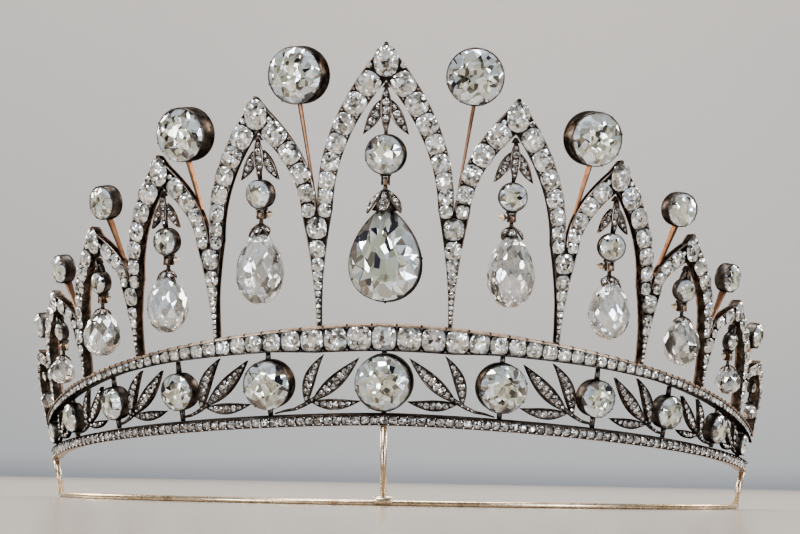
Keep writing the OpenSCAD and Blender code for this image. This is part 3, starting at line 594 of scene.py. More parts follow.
def feed(socket, value):
    """Link a socket to another one, or set its own value."""
    if isinstance(value, bpy.types.NodeSocket):
        socket.id_data.links.new(value, socket)
    else:
        socket.default_value = value


def settle(made, **settings):
    """Set a node's options and named inputs."""
    for key, value in settings.items():
        if hasattr(made, key):
            setattr(made, key, value)
        else:
            feed(made.inputs[key.replace("_", " ")], value)


def node(tree, kind, *values, out=0, **settings):
    """Output of a new node, with values for its inputs in their order and settings."""
    made = tree.nodes.new("ShaderNode" + kind)
    settle(made, **settings)
    for socket, value in zip(made.inputs, values):
        feed(socket, value)
    return made.outputs[out]


def node_material(name):
    material = bpy.data.materials.new(name)
    material.use_nodes = True
    return material, material.node_tree, material.node_tree.nodes["Principled BSDF"]


def ramp(tree, factor, stops, kind="LINEAR"):
    """Colour ramp fed by a factor, from (place, red, green, blue) stops."""
    colour = node(tree, "ValToRGB", factor)
    tones = colour.node.color_ramp
    tones.interpolation = kind
    while len(tones.elements) < len(stops):
        tones.elements.new(0.5)
    for element, (place, *tone) in zip(tones.elements, stops):
        element.position = place
        element.color = (*tone, 1)
    return colour


def metal(name, worn, body, deep, roughness, grain, edge=1.0):
    """Metal darkened in its hollows and rubbed bright on its edges; edge is how much of the
    light it still returns at a grazing angle."""
    material, tree, shader = node_material(name)
    place = node(tree, "TexCoord", out="Object")
    patches = node(tree, "TexNoise", place, Scale=grain, Detail=5.0, Roughness=0.65)
    fine = node(tree, "TexNoise", place, Scale=grain * 7, Detail=3.0)
    wear = node(tree, "Math", node(tree, "NewGeometry", out="Pointiness"), 0.4, patches,
                operation="MULTIPLY_ADD")
    shift = node(tree, "Math", wear, 0.2, operation="SUBTRACT")
    rough = node(tree, "MapRange", fine, To_Min=roughness - 0.1, To_Max=roughness + 0.14)
    bump = node(tree, "Bump", Height=fine, Strength=0.18, Distance=0.00008)
    colour = ramp(tree, shift, [(0.3, *deep), (0.52, *body), (0.78, *worn)])
    settle(shader, Base_Color=colour, Roughness=rough, Normal=bump, Metallic=1.0,
           Specular_Tint=(edge, edge, edge, 1))
    return material


def diamond(name, cell, painted_reflections, tilt, metallic=0.5, transmission=0.0, stretch=1.0):
    """Cut stone whose reflections are painted into its colour as small flat cells of dark and bright
    tones, each cell also facing its own way.
    """
    material, tree, shader = node_material(name)
    place = node(tree, "Mapping", node(tree, "TexCoord", out="Object"), Scale=(1, 1, stretch))
    cells = [node(tree, "TexVoronoi", place, out="Color", Scale=share / (cell * MM), Randomness=1.0)
             for share in (1, 2.1)]
    both = node(tree, "VectorMath", *cells, operation="ADD")
    half = node(tree, "Math", node(tree, "SeparateXYZ", both, out="Y"), 0.5, operation="MULTIPLY")
    centred = node(tree, "VectorMath", both, (tilt, tilt, tilt), (-tilt, -tilt, -tilt),
                   operation="MULTIPLY_ADD")
    turned = node(tree, "VectorMath", node(tree, "NewGeometry", out="Normal"), centred, operation="ADD")
    # Base colour: painted reflections, one flat tone per cell, from near-black to white
    settle(shader, Base_Color=ramp(tree, half, painted_reflections, "CONSTANT"),
           Normal=node(tree, "VectorMath", turned, operation="NORMALIZE"), Metallic=metallic,
           Roughness=0.04, IOR=2.2, Transmission_Weight=transmission)
    return material


SILVER = metal("oxidised_silver", worn=(0.15, 0.12, 0.10), body=(0.028, 0.022, 0.018),
               deep=(0.006, 0.005, 0.004), roughness=0.38, grain=900, edge=0.1)
BRONZE = metal("collet_silver", worn=(0.19, 0.168, 0.153), body=(0.050, 0.043, 0.038),
               deep=(0.011, 0.0098, 0.009), roughness=0.36, grain=500, edge=0.14)
RIM = metal("rubbed_rim", worn=(0.42, 0.34, 0.29), body=(0.20, 0.155, 0.13),
            deep=(0.04, 0.03, 0.025), roughness=0.34, grain=900, edge=0.5)
EDGE = metal("bronzed_edge", worn=(0.52, 0.37, 0.26), body=(0.24, 0.15, 0.10),
             deep=(0.05, 0.03, 0.02), roughness=0.34, grain=900)
RAIL_EDGE = metal("rail_edge", worn=(0.72, 0.57, 0.45), body=(0.46, 0.335, 0.245),
                  deep=(0.10, 0.07, 0.05), roughness=0.34, grain=700, edge=0.8)
GOLD = metal("rose_gold", worn=(0.27, 0.142, 0.082), body=(0.19, 0.094, 0.052),
             deep=(0.07, 0.036, 0.021), roughness=0.36, grain=600, edge=0.3)
PALE_GOLD = metal("wire_gold", worn=(0.86, 0.73, 0.54), body=(0.66, 0.52, 0.35),
                  deep=(0.28, 0.18, 0.09), roughness=0.24, grain=300)
BRIGHT = metal("bright_grain", worn=(0.85, 0.82, 0.78), body=(0.66, 0.62, 0.58),
               deep=(0.30, 0.27, 0.24), roughness=0.25, grain=900)
# Facet tones of the stones, from near-black to white: painted reflections of dark and bright
# surroundings, laid into the stones' colour cell by cell
CLEAR_PAINTED_REFLECTIONS = [(0.0, 0.04, 0.036, 0.033), (0.17, 0.13, 0.12, 0.11), (0.28, 0.28, 0.27, 0.24),
         (0.38, 0.45, 0.44, 0.40), (0.50, 0.60, 0.59, 0.56), (0.62, 0.73, 0.76, 0.80),
         (0.72, 0.97, 1.0, 1.0), (0.80, 0.56, 0.48, 0.37), (0.87, 0.64, 0.73, 0.92)]
YELLOWISH_PAINTED_REFLECTIONS = [(0.0, 0.02, 0.018, 0.016), (0.22, 0.13, 0.12, 0.09), (0.32, 0.33, 0.32, 0.23),
             (0.42, 0.50, 0.51, 0.39), (0.53, 0.60, 0.63, 0.53), (0.65, 0.72, 0.76, 0.78),
             (0.75, 0.97, 1.0, 1.0), (0.83, 0.54, 0.60, 0.45)]
BLUISH_PAINTED_REFLECTIONS = [(0.0, 0.02, 0.02, 0.03), (0.22, 0.18, 0.15, 0.12), (0.32, 0.44, 0.47, 0.40),
          (0.43, 0.55, 0.60, 0.64), (0.56, 0.76, 0.83, 0.90), (0.68, 0.42, 0.42, 0.38),
          (0.78, 0.90, 0.96, 1.0)]
GREENISH_PAINTED_REFLECTIONS = [(0.0, 0.04, 0.04, 0.06), (0.2, 0.20, 0.19, 0.15), (0.3, 0.40, 0.42, 0.32),
            (0.4, 0.56, 0.60, 0.46), (0.54, 0.66, 0.72, 0.62), (0.64, 0.78, 0.88, 0.98),
            (0.74, 1.0, 1.0, 1.0), (0.83, 0.48, 0.52, 0.56)]
GREYISH_PAINTED_REFLECTIONS = [(0.0, 0.015, 0.013, 0.012), (0.30, 0.10, 0.09, 0.08), (0.42, 0.24, 0.22, 0.20),
           (0.54, 0.38, 0.35, 0.33), (0.68, 0.62, 0.60, 0.60), (0.80, 0.95, 0.95, 1.0)]
LIMPID_PAINTED_REFLECTIONS = [(0.0, 0.10, 0.09, 0.08), (0.22, 0.40, 0.38, 0.33), (0.36, 0.72, 0.72, 0.68),
          (0.5, 0.90, 0.92, 0.92), (0.66, 0.98, 1.0, 1.0), (0.80, 0.78, 0.88, 1.0)]
BRILLIANT = diamond("diamond_main", cell=1.7, painted_reflections=YELLOWISH_PAINTED_REFLECTIONS, tilt=0.34)
KITES = diamond("diamond_kites", cell=2.8, painted_reflections=BLUISH_PAINTED_REFLECTIONS, tilt=0.26)
PEAR = diamond("diamond_pear", cell=2.5, painted_reflections=GREENISH_PAINTED_REFLECTIONS, tilt=0.34, stretch=0.55)
PEAR_KITES = diamond("diamond_pear_kites", cell=3.6, painted_reflections=BLUISH_PAINTED_REFLECTIONS, tilt=0.34, stretch=0.7)
SMALL = diamond("diamond_small", cell=1.05, painted_reflections=CLEAR_PAINTED_REFLECTIONS, tilt=0.38)
PAVE = diamond("diamond_pave", cell=0.55, painted_reflections=GREYISH_PAINTED_REFLECTIONS, tilt=0.38)
WATER = diamond("diamond_drop", cell=2.6, painted_reflections=LIMPID_PAINTED_REFLECTIONS, tilt=0.24, metallic=0.25,
                transmission=0.7, stretch=0.6)


# Arcade: its piece has the materials silver, edge, gold and rim. Each side of the channel has
# its own: silver in front, rubbed at the outer rim, and bronzed along the back
CHANNEL_MARKS = [1, 0, 3, 3, 0, 0, 0, 0, 0, 0, 1, 1]
STEM_MARK, GRAIN_MARK = 2, 3


def channel(outer, inner, face, width):
    """Ring of an open-fronted channel from the outer to the inner edge of a band; its walls
    lean in towards the back."""
    wall, rim, floor, chamfer, strip = 0.2 / width, 0.72, 0.12, 0.07, 0.4
    back = min(0.34, 0.2 * width) / width
    low = 0.7 * back
    half = [(back, -ARCADE_DEPTH), (low, strip - ARCADE_DEPTH), (0, rim - chamfer),
            (0.4 * wall, rim), (wall, rim), (wall, floor)]
    profile = half + [(1 - u, d) for u, d in reversed(half)]
    return [outer + (inner - outer) * u + face * d for u, d in profile]


def limb_ring(k, toward, q):
    face, middle = face_dir(limb_t(k, toward, q)), limb_point(k, toward, q)
    across = limb_run(k, toward, q).cross(face).normalized() * limb_w(k, q) / 2 * toward
    return channel(middle + across, middle - across, face, limb_w(k, q))


def tip_ring(k):
    t = arch_t(k)
    return channel(front_point(t, tip_z(k)), front_point(t, inner_z(k)), face_dir(t),
                   tip_z(k) - inner_z(k))


def arch(shape, k, side):
    """Both limbs of an arch in one sweep, from notch to tip to notch."""
    far = [limb_ring(k, 1, i / LIMB_STEPS) for i in range(LIMB_STEPS)]
    if k == 0:
        near = [mirrored(ring, -1) for ring in far]
    else:
        near = [limb_ring(k, -1, i / LIMB_STEPS) for i in range(LIMB_STEPS)]
    rings = near + [tip_ring(k)] + far[::-1]
    sweep(shape, [mirrored(ring, side) for ring in rings], marks=CHANNEL_MARKS)


def stalk_w(k, share):
    top = limb_w(5, 0) if k == 6 else limb_w(k - 1, 0) + limb_w(k, 0) + NOTCH_GAP
    return STALK_FOOT_W + (top - STALK_FOOT_W) * share


def stalk_t(k, z):
    if k < 6:
        return foot_t(k)
    return foot_t(6) - (limb_w(5, 0) + NOTCH_GAP) / 2 / mm_per_deg(foot_t(6), z)


def stalk_place(k, share):
    """Height and width of a stalk at a share of its height."""
    foot = UPPER.top_z(foot_t(k)) + SEAT_GAP
    return foot + share * (notch_z(k) - foot), stalk_w(k, share ** STALK_TAPER)


def stalk(shape, k, side):
    rings = []
    for i in range(STALK_STEPS + 1):
        z, width = stalk_place(k, i / STALK_STEPS)
        t = stalk_t(k, z)
        middle = front_point(t, z)
        half = along_dir(t) * width / 2
        rings.append(channel(middle + half, middle - half, face_dir(t), width))
    sweep(shape, [mirrored(ring, side) for ring in rings], marks=CHANNEL_MARKS)


def stem(shape, k, side):
    """Knife-edged stem of warm gold from the notch up to its collet."""
    low = front_point(foot_t(k), notch_z(k) - LIMB_NOTCH_W / 2)
    top_z = stem_collet_z(k) - stem_collet_r(k) * (STEM_SEAT - 0.02) * cos(LEAN)
    top = front_point(stem_collet_t(k), top_z)
    face = face_dir(foot_t(k))
    sideways = (top - low).cross(face).normalized()
    rings = []
    for i in range(STEM_STEPS + 1):
        s = i / STEM_STEPS
        across = sideways * (STEM_FOOT_W + (STEM_TOP_W - STEM_FOOT_W) * s ** 2) / 2
        edge = face * (STEM_FOOT_DEPTH + (STEM_TOP_DEPTH - STEM_FOOT_DEPTH) * s ** 2.2) / 2
        middle = low + (top - low) * s - face * ARCADE_DEPTH / 2
        rings.append(mirrored([middle + x * across + y * edge for x, y in (
            (0, 1), (1, 0.7), (1, -0.7), (0, -1), (-1, -0.7), (-1, 0.7))], side))
    sweep(shape, rings, STEM_MARK)


def limb_stones(k, toward):
    """Places of a limb's stones from the tip down to the notch, each (angle, height, radius, q)."""
    steps, table, s = 40, [], 0.0
    for i in range(steps + 1):
        q = 1 - i / steps
        table.append((s, q))
        s += (limb_point(k, toward, q) - limb_point(k, toward, q - 1 / steps)).length
    end = table[-1][0]

    def radius(distance):
        q = lookup(distance, table)
        last = NOTCH_STONE + (1 - NOTCH_STONE) * min(1, q / NOTCH_REACH)
        return limb_w(k, q) / 2 * STONE_SPREAD * last

    tip = ARCH_TIP_H * ARCH[k][1] * TIP_STONE_SHARE + STONE_GAP
    rows = [tip + radius(tip + LIMB_TOP_W / 2)]
    while rows[-1] < end:
        s = rows[-1]
        rows.append(s + radius(s) + radius(s + 2 * radius(s)) + STONE_GAP)
    if rows[-1] - end > end - rows[-2]:
        rows.pop()
    fit = (end - rows[0]) / (rows[-1] - rows[0])
    places = []
    for row in rows:
        s = rows[0] + (row - rows[0]) * fit
        q = lookup(s, table)
        places.append((limb_t(k, toward, q), limb_z(k, toward, q), min(fit, 1.03) * radius(s), q))
    return places


def along_limb(k, toward, q, side, spot):
    """The spot turned so that its up runs along the limb."""
    d = mirrored([limb_run(k, toward, q)], side)[0]
    up = (d - d.dot(spot.out) * spot.out).normalized()
    return Spot(spot.origin, up.cross(spot.out), up, spot.out)


def grains(shape, k, toward, side):
    """Grains that hold the stones, in pairs between neighbours."""
    places = limb_stones(k, toward)
    for (t, _, r, q0), (_, _, _, q1) in zip(places, places[1:]):
        ring = limb_ring(k, toward, (q0 + q1) / 2)
        for edge, other in ((ring[3], ring[8]), (ring[8], ring[3])):
            centre = edge + (other - edge) * 0.1 + face_dir(t) * 0.08
            bead(shape, mirrored([centre], side)[0], 0.07 * r + 0.09, GRAIN_MARK)


def arcade():
    """The arches' channels, stalks, knife stems and grains, in place of the plain arcade."""
    shape = Shape()
    for side in (-1, 1):
        for k in range(0 if side > 0 else 1, 6):
            arch(shape, k, side)
            tip = on_front(side * arch_t(k), tip_z(k))
            bead(shape, tip.at(0, -0.35, 0.6), 0.42 * ARCH[k][2])
        for k in range(6):
            for toward in ((1,) if k == 0 else (-1, 1)):
                grains(shape, k, toward, side)
        for k in range(1, 7):
            stalk(shape, k, side)
        for k in range(1, 6):
            stem(shape, k, side)
    shape.make("arcade_band", [SILVER, EDGE, GOLD, RIM], "silver", "arcade")


def arch_stones():
    """Stones of the arches, each side and the front arch a piece of its own."""
    groups = {"left": (-1, range(1, 6)), "right": (1, range(1, 6)), "centre": (1, (0,))}
    for name, (side, arches) in groups.items():
        shape = Shape()
        for k in arches:
            rx, ry = limb_w(k, 1) / 2, ARCH_TIP_H * ARCH[k][1] * TIP_STONE_SHARE
            tip = on_front(side * arch_t(k), (tip_z(k) + inner_z(k)) / 2).moved(0, 0, GIRDLE)
            old_cut(shape, tip.tilted(0, rng.uniform(-3, 3), 0), rx * 0.98, ry, 0.28 * rx, 0.75, 2.5)
            aside, down = FRONT_SHOULDER if k == 0 else SIDE_SHOULDER
            for x in (-1, 1):
                shoulder = tip.moved(x * aside * rx, -down * ry, -0.1)
                rose(shape, jittered(shoulder), 0.26 * rx, 0.1 * rx)
            for toward in (-1, 1):
                for t, z, r, q in limb_stones(k, toward):
                    place = along_limb(k, toward, q, side, on_front(side * t, z))
                    old_cut(shape, jittered(place.moved(0, 0, GIRDLE), 4, 6), r * 0.96, r,
                            0.26 * r, 0.75, 3.0)
        shape.make(f"arch_brilliants_{name}", [SMALL], "diamond", f"arch_stones_{name}")


def stalk_stones():
    """Stones that shrink down each stalk, single file."""
    wall, gap, girdle, smallest_cut = 0.05, 0.1, 0.74, 0.6
    shape = Shape()
    for side in (-1, 1):
        for k in range(1, 7):
            foot, _ = stalk_place(k, 0)
            rise = notch_z(k) - foot

            def radius(share):
                return min(stalk_place(k, share)[1] * 0.5 - wall, 1.7 * ARCH[k - 1][2])

            share = 1.0 - 0.45 * limb_w(k - 1, 0) / rise
            while share > 0.03:
                middle = share - radius(share) / rise
                r, z = radius(max(middle, 0)), foot + middle * rise
                if z - r < foot:
                    break
                spot = on_front(side * stalk_t(k, z), z).moved(0, 0, girdle)
                if r > smallest_cut:
                    old_cut(shape, jittered(spot, 4, 6), r, 1.05 * r, 0.28 * r, 0.6, 2.9)
                else:
                    rose(shape, jittered(spot), r, 0.4 * r)
                share -= (2 * r + gap) / rise
    shape.make("stalk_brilliants", [SMALL], "diamond")


def between(seats):
    """Angles half-way between neighbouring stones."""
    return [(a[0] + b[0]) / 2 for a, b in zip(seats, seats[1:])]


def upper_rail():
    shape, stones, seats = UPPER.band(), Shape(), UPPER.seats(0.2)
    bar_r, bar_out, knob_r, knob_back, knob_down = 0.13, 0.35, 0.19, -0.2, 0.08
    for _, r, spot in seats:
        rx = 1.02 * r
        old_cut(stones, jittered(spot, 3, 4), rx, 1.08 * r, 0.28 * rx, min(1.1, 0.8 * rx), 3.2)
    for t in between(seats):
        h = UPPER.height(t)
        size = 0.07 * h + 0.02
        for down in (UPPER.top_lip + 0.3 * size, h - UPPER.low_lip - 0.3 * size):
            bead(shape, UPPER.point(t, RAIL_FRONT, down), 0.8 * size, 2)
        rod(shape, UPPER.point(t, bar_out, UPPER.top_lip / 2),
            UPPER.point(t, bar_out, h - UPPER.low_lip / 2), bar_r, sides=6)
        rod(shape, UPPER.point(t, knob_back, knob_down),
            UPPER.point(t, RAIL_FRONT + 0.02, knob_down), knob_r, sides=8)
    shape.make("upper_rail_band", [SILVER, RAIL_EDGE, BRONZE], "gold", "upper_rail")
    stones.make("upper_rail_brilliants", [SMALL], "diamond", "upper_rail_stones")


def lower_rail():
    shape, stones, seats = LOWER.band(), Shape(), LOWER.seats(0.16)
    for _, r, spot in seats:
        old_cut(stones, jittered(spot, 4, 8), 1.03 * r, 1.08 * r, 0.3 * r, 0.5, 3.0)
    for t in between(seats):
        for down, size in ((LOWER.top_lip + 0.04, 0.1), (LOWER.front_h - LOWER.low_lip - 0.1, 0.18)):
            bead(shape, LOWER.point(t, RAIL_FRONT, down), size, 2)
    shape.make("lower_rail_band", [SILVER, EDGE, BRIGHT], "gold", "lower_rail")
    stones.make("lower_rail_roses", [PAVE], "diamond")


# Collets


def frieze_and_stem_collets():
    frieze, stems, frieze_stones, stem_stones = Shape(), Shape(), Shape(), Shape()
    for side in (-1, 1):
        for k in range(1, 6):
            spot = on_front(side * stem_collet_t(k), stem_collet_z(k))
            collet(stems, stem_stones, spot.turned(STEM_TURN.get((k, side), 0)),
                   stem_collet_r(k), seat=STEM_SEAT)
        for k in range(0 if side > 0 else 1, 6):
            t = side * arch_t(k)
            middle_z = frieze_middle_z(t)
            spot, r = on_front(t, middle_z), frieze_r(k)
            collet(frieze, frieze_stones, spot.turned(FRIEZE_TURN.get((k, side), 0)), r)
            for way, z in ((1, UPPER.bottom_z(t) - SEAT_GAP), (-1, LOWER.top_z(t) + SEAT_GAP)):
                reach = (z - middle_z) / cos(LEAN)
                rod(frieze, spot.at(0, way * (r - 0.3), -0.3), spot.at(0, reach, -0.3), 0.5, 0.42)
    frieze.make("frieze_settings", [BRONZE], "silver", "frieze_collets")
    stems.make("stem_settings", [BRONZE], "silver", "stem_collets")
    frieze_stones.make("frieze_brilliants", [BRILLIANT, KITES], "diamond", "frieze_stones")
    stem_stones.make("stem_brilliants", [BRILLIANT, KITES], "diamond", "stem_stones")


def fork(shape, hinge):
    """Two ears on a crosspiece, up into the collet, and the pin through them."""
    outside, brow, high = EAR_IN + EAR_T, 0.2, EYE_R + EYE_CLEAR + 0.25
    for way in (-1, 1):
        slab(shape, hinge, (way * EAR_IN, way * outside), (-EAR_R, high), (-EAR_R, EAR_R))
    slab(shape, hinge, (-outside - brow, outside + brow), (EYE_R + 0.14, high), (-EAR_R, EAR_R))
    rod(shape, hinge.at(-outside - 0.05, 0), hinge.at(outside + 0.05, 0), PIN_D / 2 - 0.02)


def fork_tab(shape, hinge, side):
    """Small pointed wing of gold on the side of a fork that faces the middle."""
    corners = ((-0.1, 0.1, 0), (0.7, 0.85, 0), (0.6, 0.2, 0.35), (0.7, -0.55, 0),
               (0.6, 0.2, -0.35), (1.8, 0.35, 0))
    points = [hinge.at(-side * (EAR_IN + EAR_T + x), y, z) for x, y, z in corners]
    faces = [[end, i, i % 4 + 1] for end in (0, 5) for i in (1, 2, 3, 4)]
    shape.add(points, faces, 1)


def pendants():
    """Trefoil, collet and fork of each pendant, which stay still while the drop swings."""
    settings, collets, stones, pave = Shape(), Shape(), Shape(), Shape()
    for k, side in BODY:
        spot = on_front(side * arch_t(k), pendant_z(k))
        turn = PENDANT_TURN.get((k, side), 0)
        collet(collets, stones, spot.turned(turn), pendant_r(k), 4)
        trefoil(settings, pave, spot.moved(0, 0, 0.02), k)
        hinge = hanging(side * arch_t(k), hinge_z(k)).turned(turn / 2)
        fork(settings, hinge)
        if k > 0:
            fork_tab(settings, hinge, side)
    r = 0.8 * pendant_r(5)
    for side in (-1, 1):
        spot = on_front(side * arch_t(5), pendant_z(5))
        old_cut(stones, jittered(spot.moved(0, 0, 0.4)), r, r, 0.3, 0.6)
    settings.make("pendant_settings", [SILVER, PALE_GOLD, RIM], "silver",
                  *[f"pendant_{name}" for name in BODY.values()])
    collets.make("pendant_collets", [BRONZE], "silver")
    stones.make("pendant_brilliants", [BRILLIANT, KITES], "diamond", "pendant_stones")
    pave.make("trefoil_roses", [PAVE], "diamond")


# Leaves


def leaf(setting, stones, spot, a, b, width, bow, count, lift=0.0, back=-0.55, rim=0):
    """Domed leaf with a raised rim and a row of stones, in the spot's own plane."""
    d = Vector((b[0] - a[0], b[1] - a[1]))
    length = d.length
    across = Vector((-d.y, d.x)) / length
    columns = ((-1, back), (-1, 0.12), (-0.88, 0.22), (-0.72, 0.12), (0, 0.02),
               (0.72, 0.12), (0.88, 0.22), (1, 0.12), (1, back))

    def middle(s):
        return Vector(a) + s * d + 4 * bow * length * s * (1 - s) * across

    def half(s):
        return width / 2 * sin(180 * s ** 0.85) + 0.04

    def rise(s):
        return lift * sin(180 * s)

    rings = []
    for i in range(LEAF_STEPS + 1):
        s = i / LEAF_STEPS
        rings.append([spot.at(*(middle(s) + across * c * half(s)), z + rise(s)) for c, z in columns])
    sweep(setting, rings, marks=[0, rim, rim, 0, 0, rim, rim, 0, 0])
    for i in range(count):
        s = (i + 0.9) / (count + 0.9)
        m, r = middle(s), half(s) * 0.66
        along = Spot(spot.at(m.x, m.y, 0.1 + rise(s)),
                     across.x * spot.right + across.y * spot.up,
                     (d.x * spot.right + d.y * spot.up) / length, spot.out)
        low = min(0.47 * length / (count + 0.9), r * 1.15)
        old_cut(stones, jittered(along, 7, 5), r, low, 0.3 * low, 0.3, 2.5)


def spray_point(k, spot, way, rise, start=0):
    """Place in a spray's plane, at shares of the way from a start to the next collet and of the
    rise from rail to rail."""
    t = arch_t(k) + (start + way * (1 - start)) * (arch_t(k - 1) - arch_t(k))
    low, high = LOWER.top_z(t) + SEAT_GAP, UPPER.bottom_z(t) - SEAT_GAP
    away = front_point(t, low + rise * (high - low)) - spot.origin
    return Vector((away.dot(spot.right), away.dot(spot.up)))


def spray_start(k):
    """Share of the way to the next collet at which the stem clears its own collet."""
    t, r = arch_t(k), frieze_r(k) + 2 * SEAT_GAP
    z = frieze_middle_z(t)
    height = (UPPER.bottom_z(t) - LOWER.top_z(t)) / cos(LEAN)
    fall = height * (0.5 - SPRAY_STEM[1][1]) - SPRAY_STEM_W
    way = (front_point(t, z) - front_point(arch_t(k - 1), z)).length
    return math.sqrt(r * r - fall * fall) / way if fall < r else 0


def spray(k):
    """Metal and stones of one spray on the left, to be mirrored for the right."""
    parts, gems, start, t = Shape(), Shape(), spray_start(k), (arch_t(k) + arch_t(k - 1)) / 2
    spot = on_front(t, frieze_middle_z(t)).moved(0, 0, 0.02)
    path = [spray_point(k, spot, *SPRAY_ROOT)]
    path += [spray_point(k, spot, *place, start) for place in SPRAY_STEM]
    for i, (a, b) in enumerate(zip(path, path[1:])):
        rod(parts, spot.at(a.x, a.y, -0.15), spot.at(b.x, b.y, -0.15),
            SPRAY_STEM_R * (0.4 + 0.2 * i), SPRAY_STEM_R * (0.6 + 0.2 * i), 8)
        for s in (0.3, 0.75) if i > 1 else ():
            place = a + s * (b - a)
            rose(gems, jittered(spot.moved(place.x, place.y, 0.2)), 0.17, 0.08)
    for base, tip, bow in SPRAY_LEAVES:
        a, b = spray_point(k, spot, *base, start), spray_point(k, spot, *tip)
        length = (b - a).length
        leaf(parts, gems, spot, a, b, 0.92 * LEAF_W * length, bow, max(4, round(length / 1.25)))
    return parts, gems


def leaf_sprays():
    """Relief and stones of the sprays, in place of their plain plates."""
    for side, name in ((-1, "left"), (1, "right")):
        silver, stones = Shape(), Shape()
        for k in range(1, 6):
            for target, source in zip((silver, stones), spray(k)):
                target.add(mirrored(source.points, side), source.faces)
        silver.make(f"leaves_{name}", [SILVER], "silver", f"leaf_sprays_{name}")
        stones.make(f"leaf_roses_{name}", [PAVE], "diamond")


def trefoil(silver, stones, spot, k):
    """Three leaves that hang from an arch's inner point, down to the pendant's collet."""
    base = 0.9 * pendant_r(k) - COLLET_WALL / 2
    top = (inner_z(k) - pendant_z(k)) / cos(LEAN) - TREFOIL_TOP_GAP
    length = top - base
    width = TREFOIL_W * length
    leaf(silver, stones, spot.moved(0, 0, 0.35), (0, base + 0.93 * length),
         (0, base + 0.04 * length), width, 0, 5, back=-0.3, rim=2)
    for side in (-1, 1):
        leaf(silver, stones, spot, (side * 0.10 * length, base + 0.68 * length),
             (side * 0.42 * length, base + 0.05 * length), width, -side * 0.05, 4, rim=2)
    rod(silver, spot.at(0, base - 0.3, -0.3), spot.at(0, top, -0.3), 0.32, 0.3, 8)
    corners = ((-0.7, 0.2), (0.7, 0.2), (0.7, -0.7), (-0.7, -0.7))
    sweep(silver, [[spot.at(x * share, y, z) for x, z in corners]
                   for share, y in ((1, top - 0.9), (0.2, top))])


# Drops


def briolette(shape, k, side):
    """Drop covered all over with small three-cornered facets."""
    length, width, fall, taper = drop_size(k)
    spot = hanging(side * arch_t(k), hinge_z(k))
    sides, rows = (11, 10) if k == 1 else (9, 8)
    points = [spot.at(0, -fall, 0)]
    for i in range(rows):
        a = 165 * (i + 1) / (rows + 0.2)
        r = width / 2 * drop_half(a, taper)
        for j in range(sides):
            turn = 360 * (j + i / 2) / sides
            points.append(spot.at(r * cos(turn), -fall - length / 2 * (1 - cos(a)), r * sin(turn)))
    points.append(spot.at(0, -fall - length, 0))
    low, faces = 1 + (rows - 1) * sides, strips(1, sides, rows)
    for j in range(sides):
        after = (j + 1) % sides
        faces += [[0, 1 + after, 1 + j], [low + j, low + after, len(points) - 1]]
    shape.add(points, faces)


def pear_point(a, grow, share=1.0):
    """Point of the pear's outline at angle a from its top."""
    half = (PEAR_W / 2 + grow) * drop_half(min(a, 360 - a), PEAR_TAPER)
    x = math.copysign(half, 180 - a) * share
    middle = -PEAR_FALL - PEAR_L * PEAR_BELLY
    y = (PEAR_L / 2 + grow) * cos(a) - PEAR_FALL - PEAR_L / 2
    return x, middle + (y - middle) * share


def pear(shape, spot):
    """Front drop: a pear-shaped stone with twelve sides to its table and a deep pavilion."""
    crown = PEAR_W * PEAR_CROWN
    levels = (0.5, crown), (0.77, 0.7 * crown), (1, 0), (0.55, -2.2)
    cut_stone(shape, 12, lambda a, share, z: spot.at(*pear_point(a, 0, share), z), levels,
              spot.at(0, -PEAR_FALL - PEAR_L * PEAR_BELLY, -PEAR_W * 0.3), 1)


def pear_setting(shape, spot):
    """Thin dark rim behind the pear's edge and four small claws over it."""
    steps, start = 72, 8
    rings = []
    for i in range(steps + 1):
        a = start + (360 - 2 * start) * i / steps
        inner, outer = pear_point(a, -0.35), pear_point(a, 0.1)
        rings.append([spot.at(*inner, -2.3), spot.at(*outer, -2.2), spot.at(*outer, -0.12),
                      spot.at(*inner, -0.2)])
    sweep(shape, rings, 2)
    for a in (95, 180, 236, 300):
        rod(shape, spot.at(*pear_point(a, 0.12), -1.6), spot.at(*pear_point(a, -0.25), 0.3),
            0.24, 0.16, 8, 2)


def cap(shape, stones, k, side):
    """Eye, short neck and pave leaves that spread over a drop's head."""
    spot = hanging(side * arch_t(k), hinge_z(k))
    size = 1.0 if k == 0 else (drop_size(k)[1] / DROP_W) ** 0.5
    start, spread, leaf_l, leaf_w, gems = CAP_CENTRE if k == 0 else CAP_SIDE
    half = [(PIN_D / 2 + 0.06, EYE_HALF), (EYE_R - 0.05, EYE_HALF), (EYE_R, EYE_HALF - 0.08)]
    lathe(shape, spot.along(), both_ways(half), 24, 1)
    rod(shape, spot.at(0, -EYE_R + 0.05), spot.at(0, -start - 0.2), 0.32 * size, 0.45 * size)
    rings = []
    for y, r in ((0, 0.45), (0.35, 0.62), (1, 0.85), (1, 0.5), (0.5, 0.1)):
        reach = size * (0.2 + 0.4 * r + 0.95 * (leaf_l * sin(spread) - 0.5) * y * r)
        down = start + 0.8 * leaf_l * cos(spread) * y * size
        rings.append([spot.at(reach * cos(a), -down, reach * sin(a)) for a in range(0, 360, 24)])
    sweep(shape, rings, 0, True)
    for turn, splay in CAP_LEAVES:
        lean = spread * splay
        radial = cos(turn) * spot.right + sin(turn) * spot.out
        up = sin(lean) * radial - cos(lean) * UP
        right = up.cross(radial).normalized()
        place = Spot(spot.at(0, -start) + 0.4 * size * radial, right, up, right.cross(up))
        leaf(shape, stones, place, (0, 0), (0, leaf_l * size), leaf_w * size, 0, gems, 0.3 * size,
             -0.2, 3)


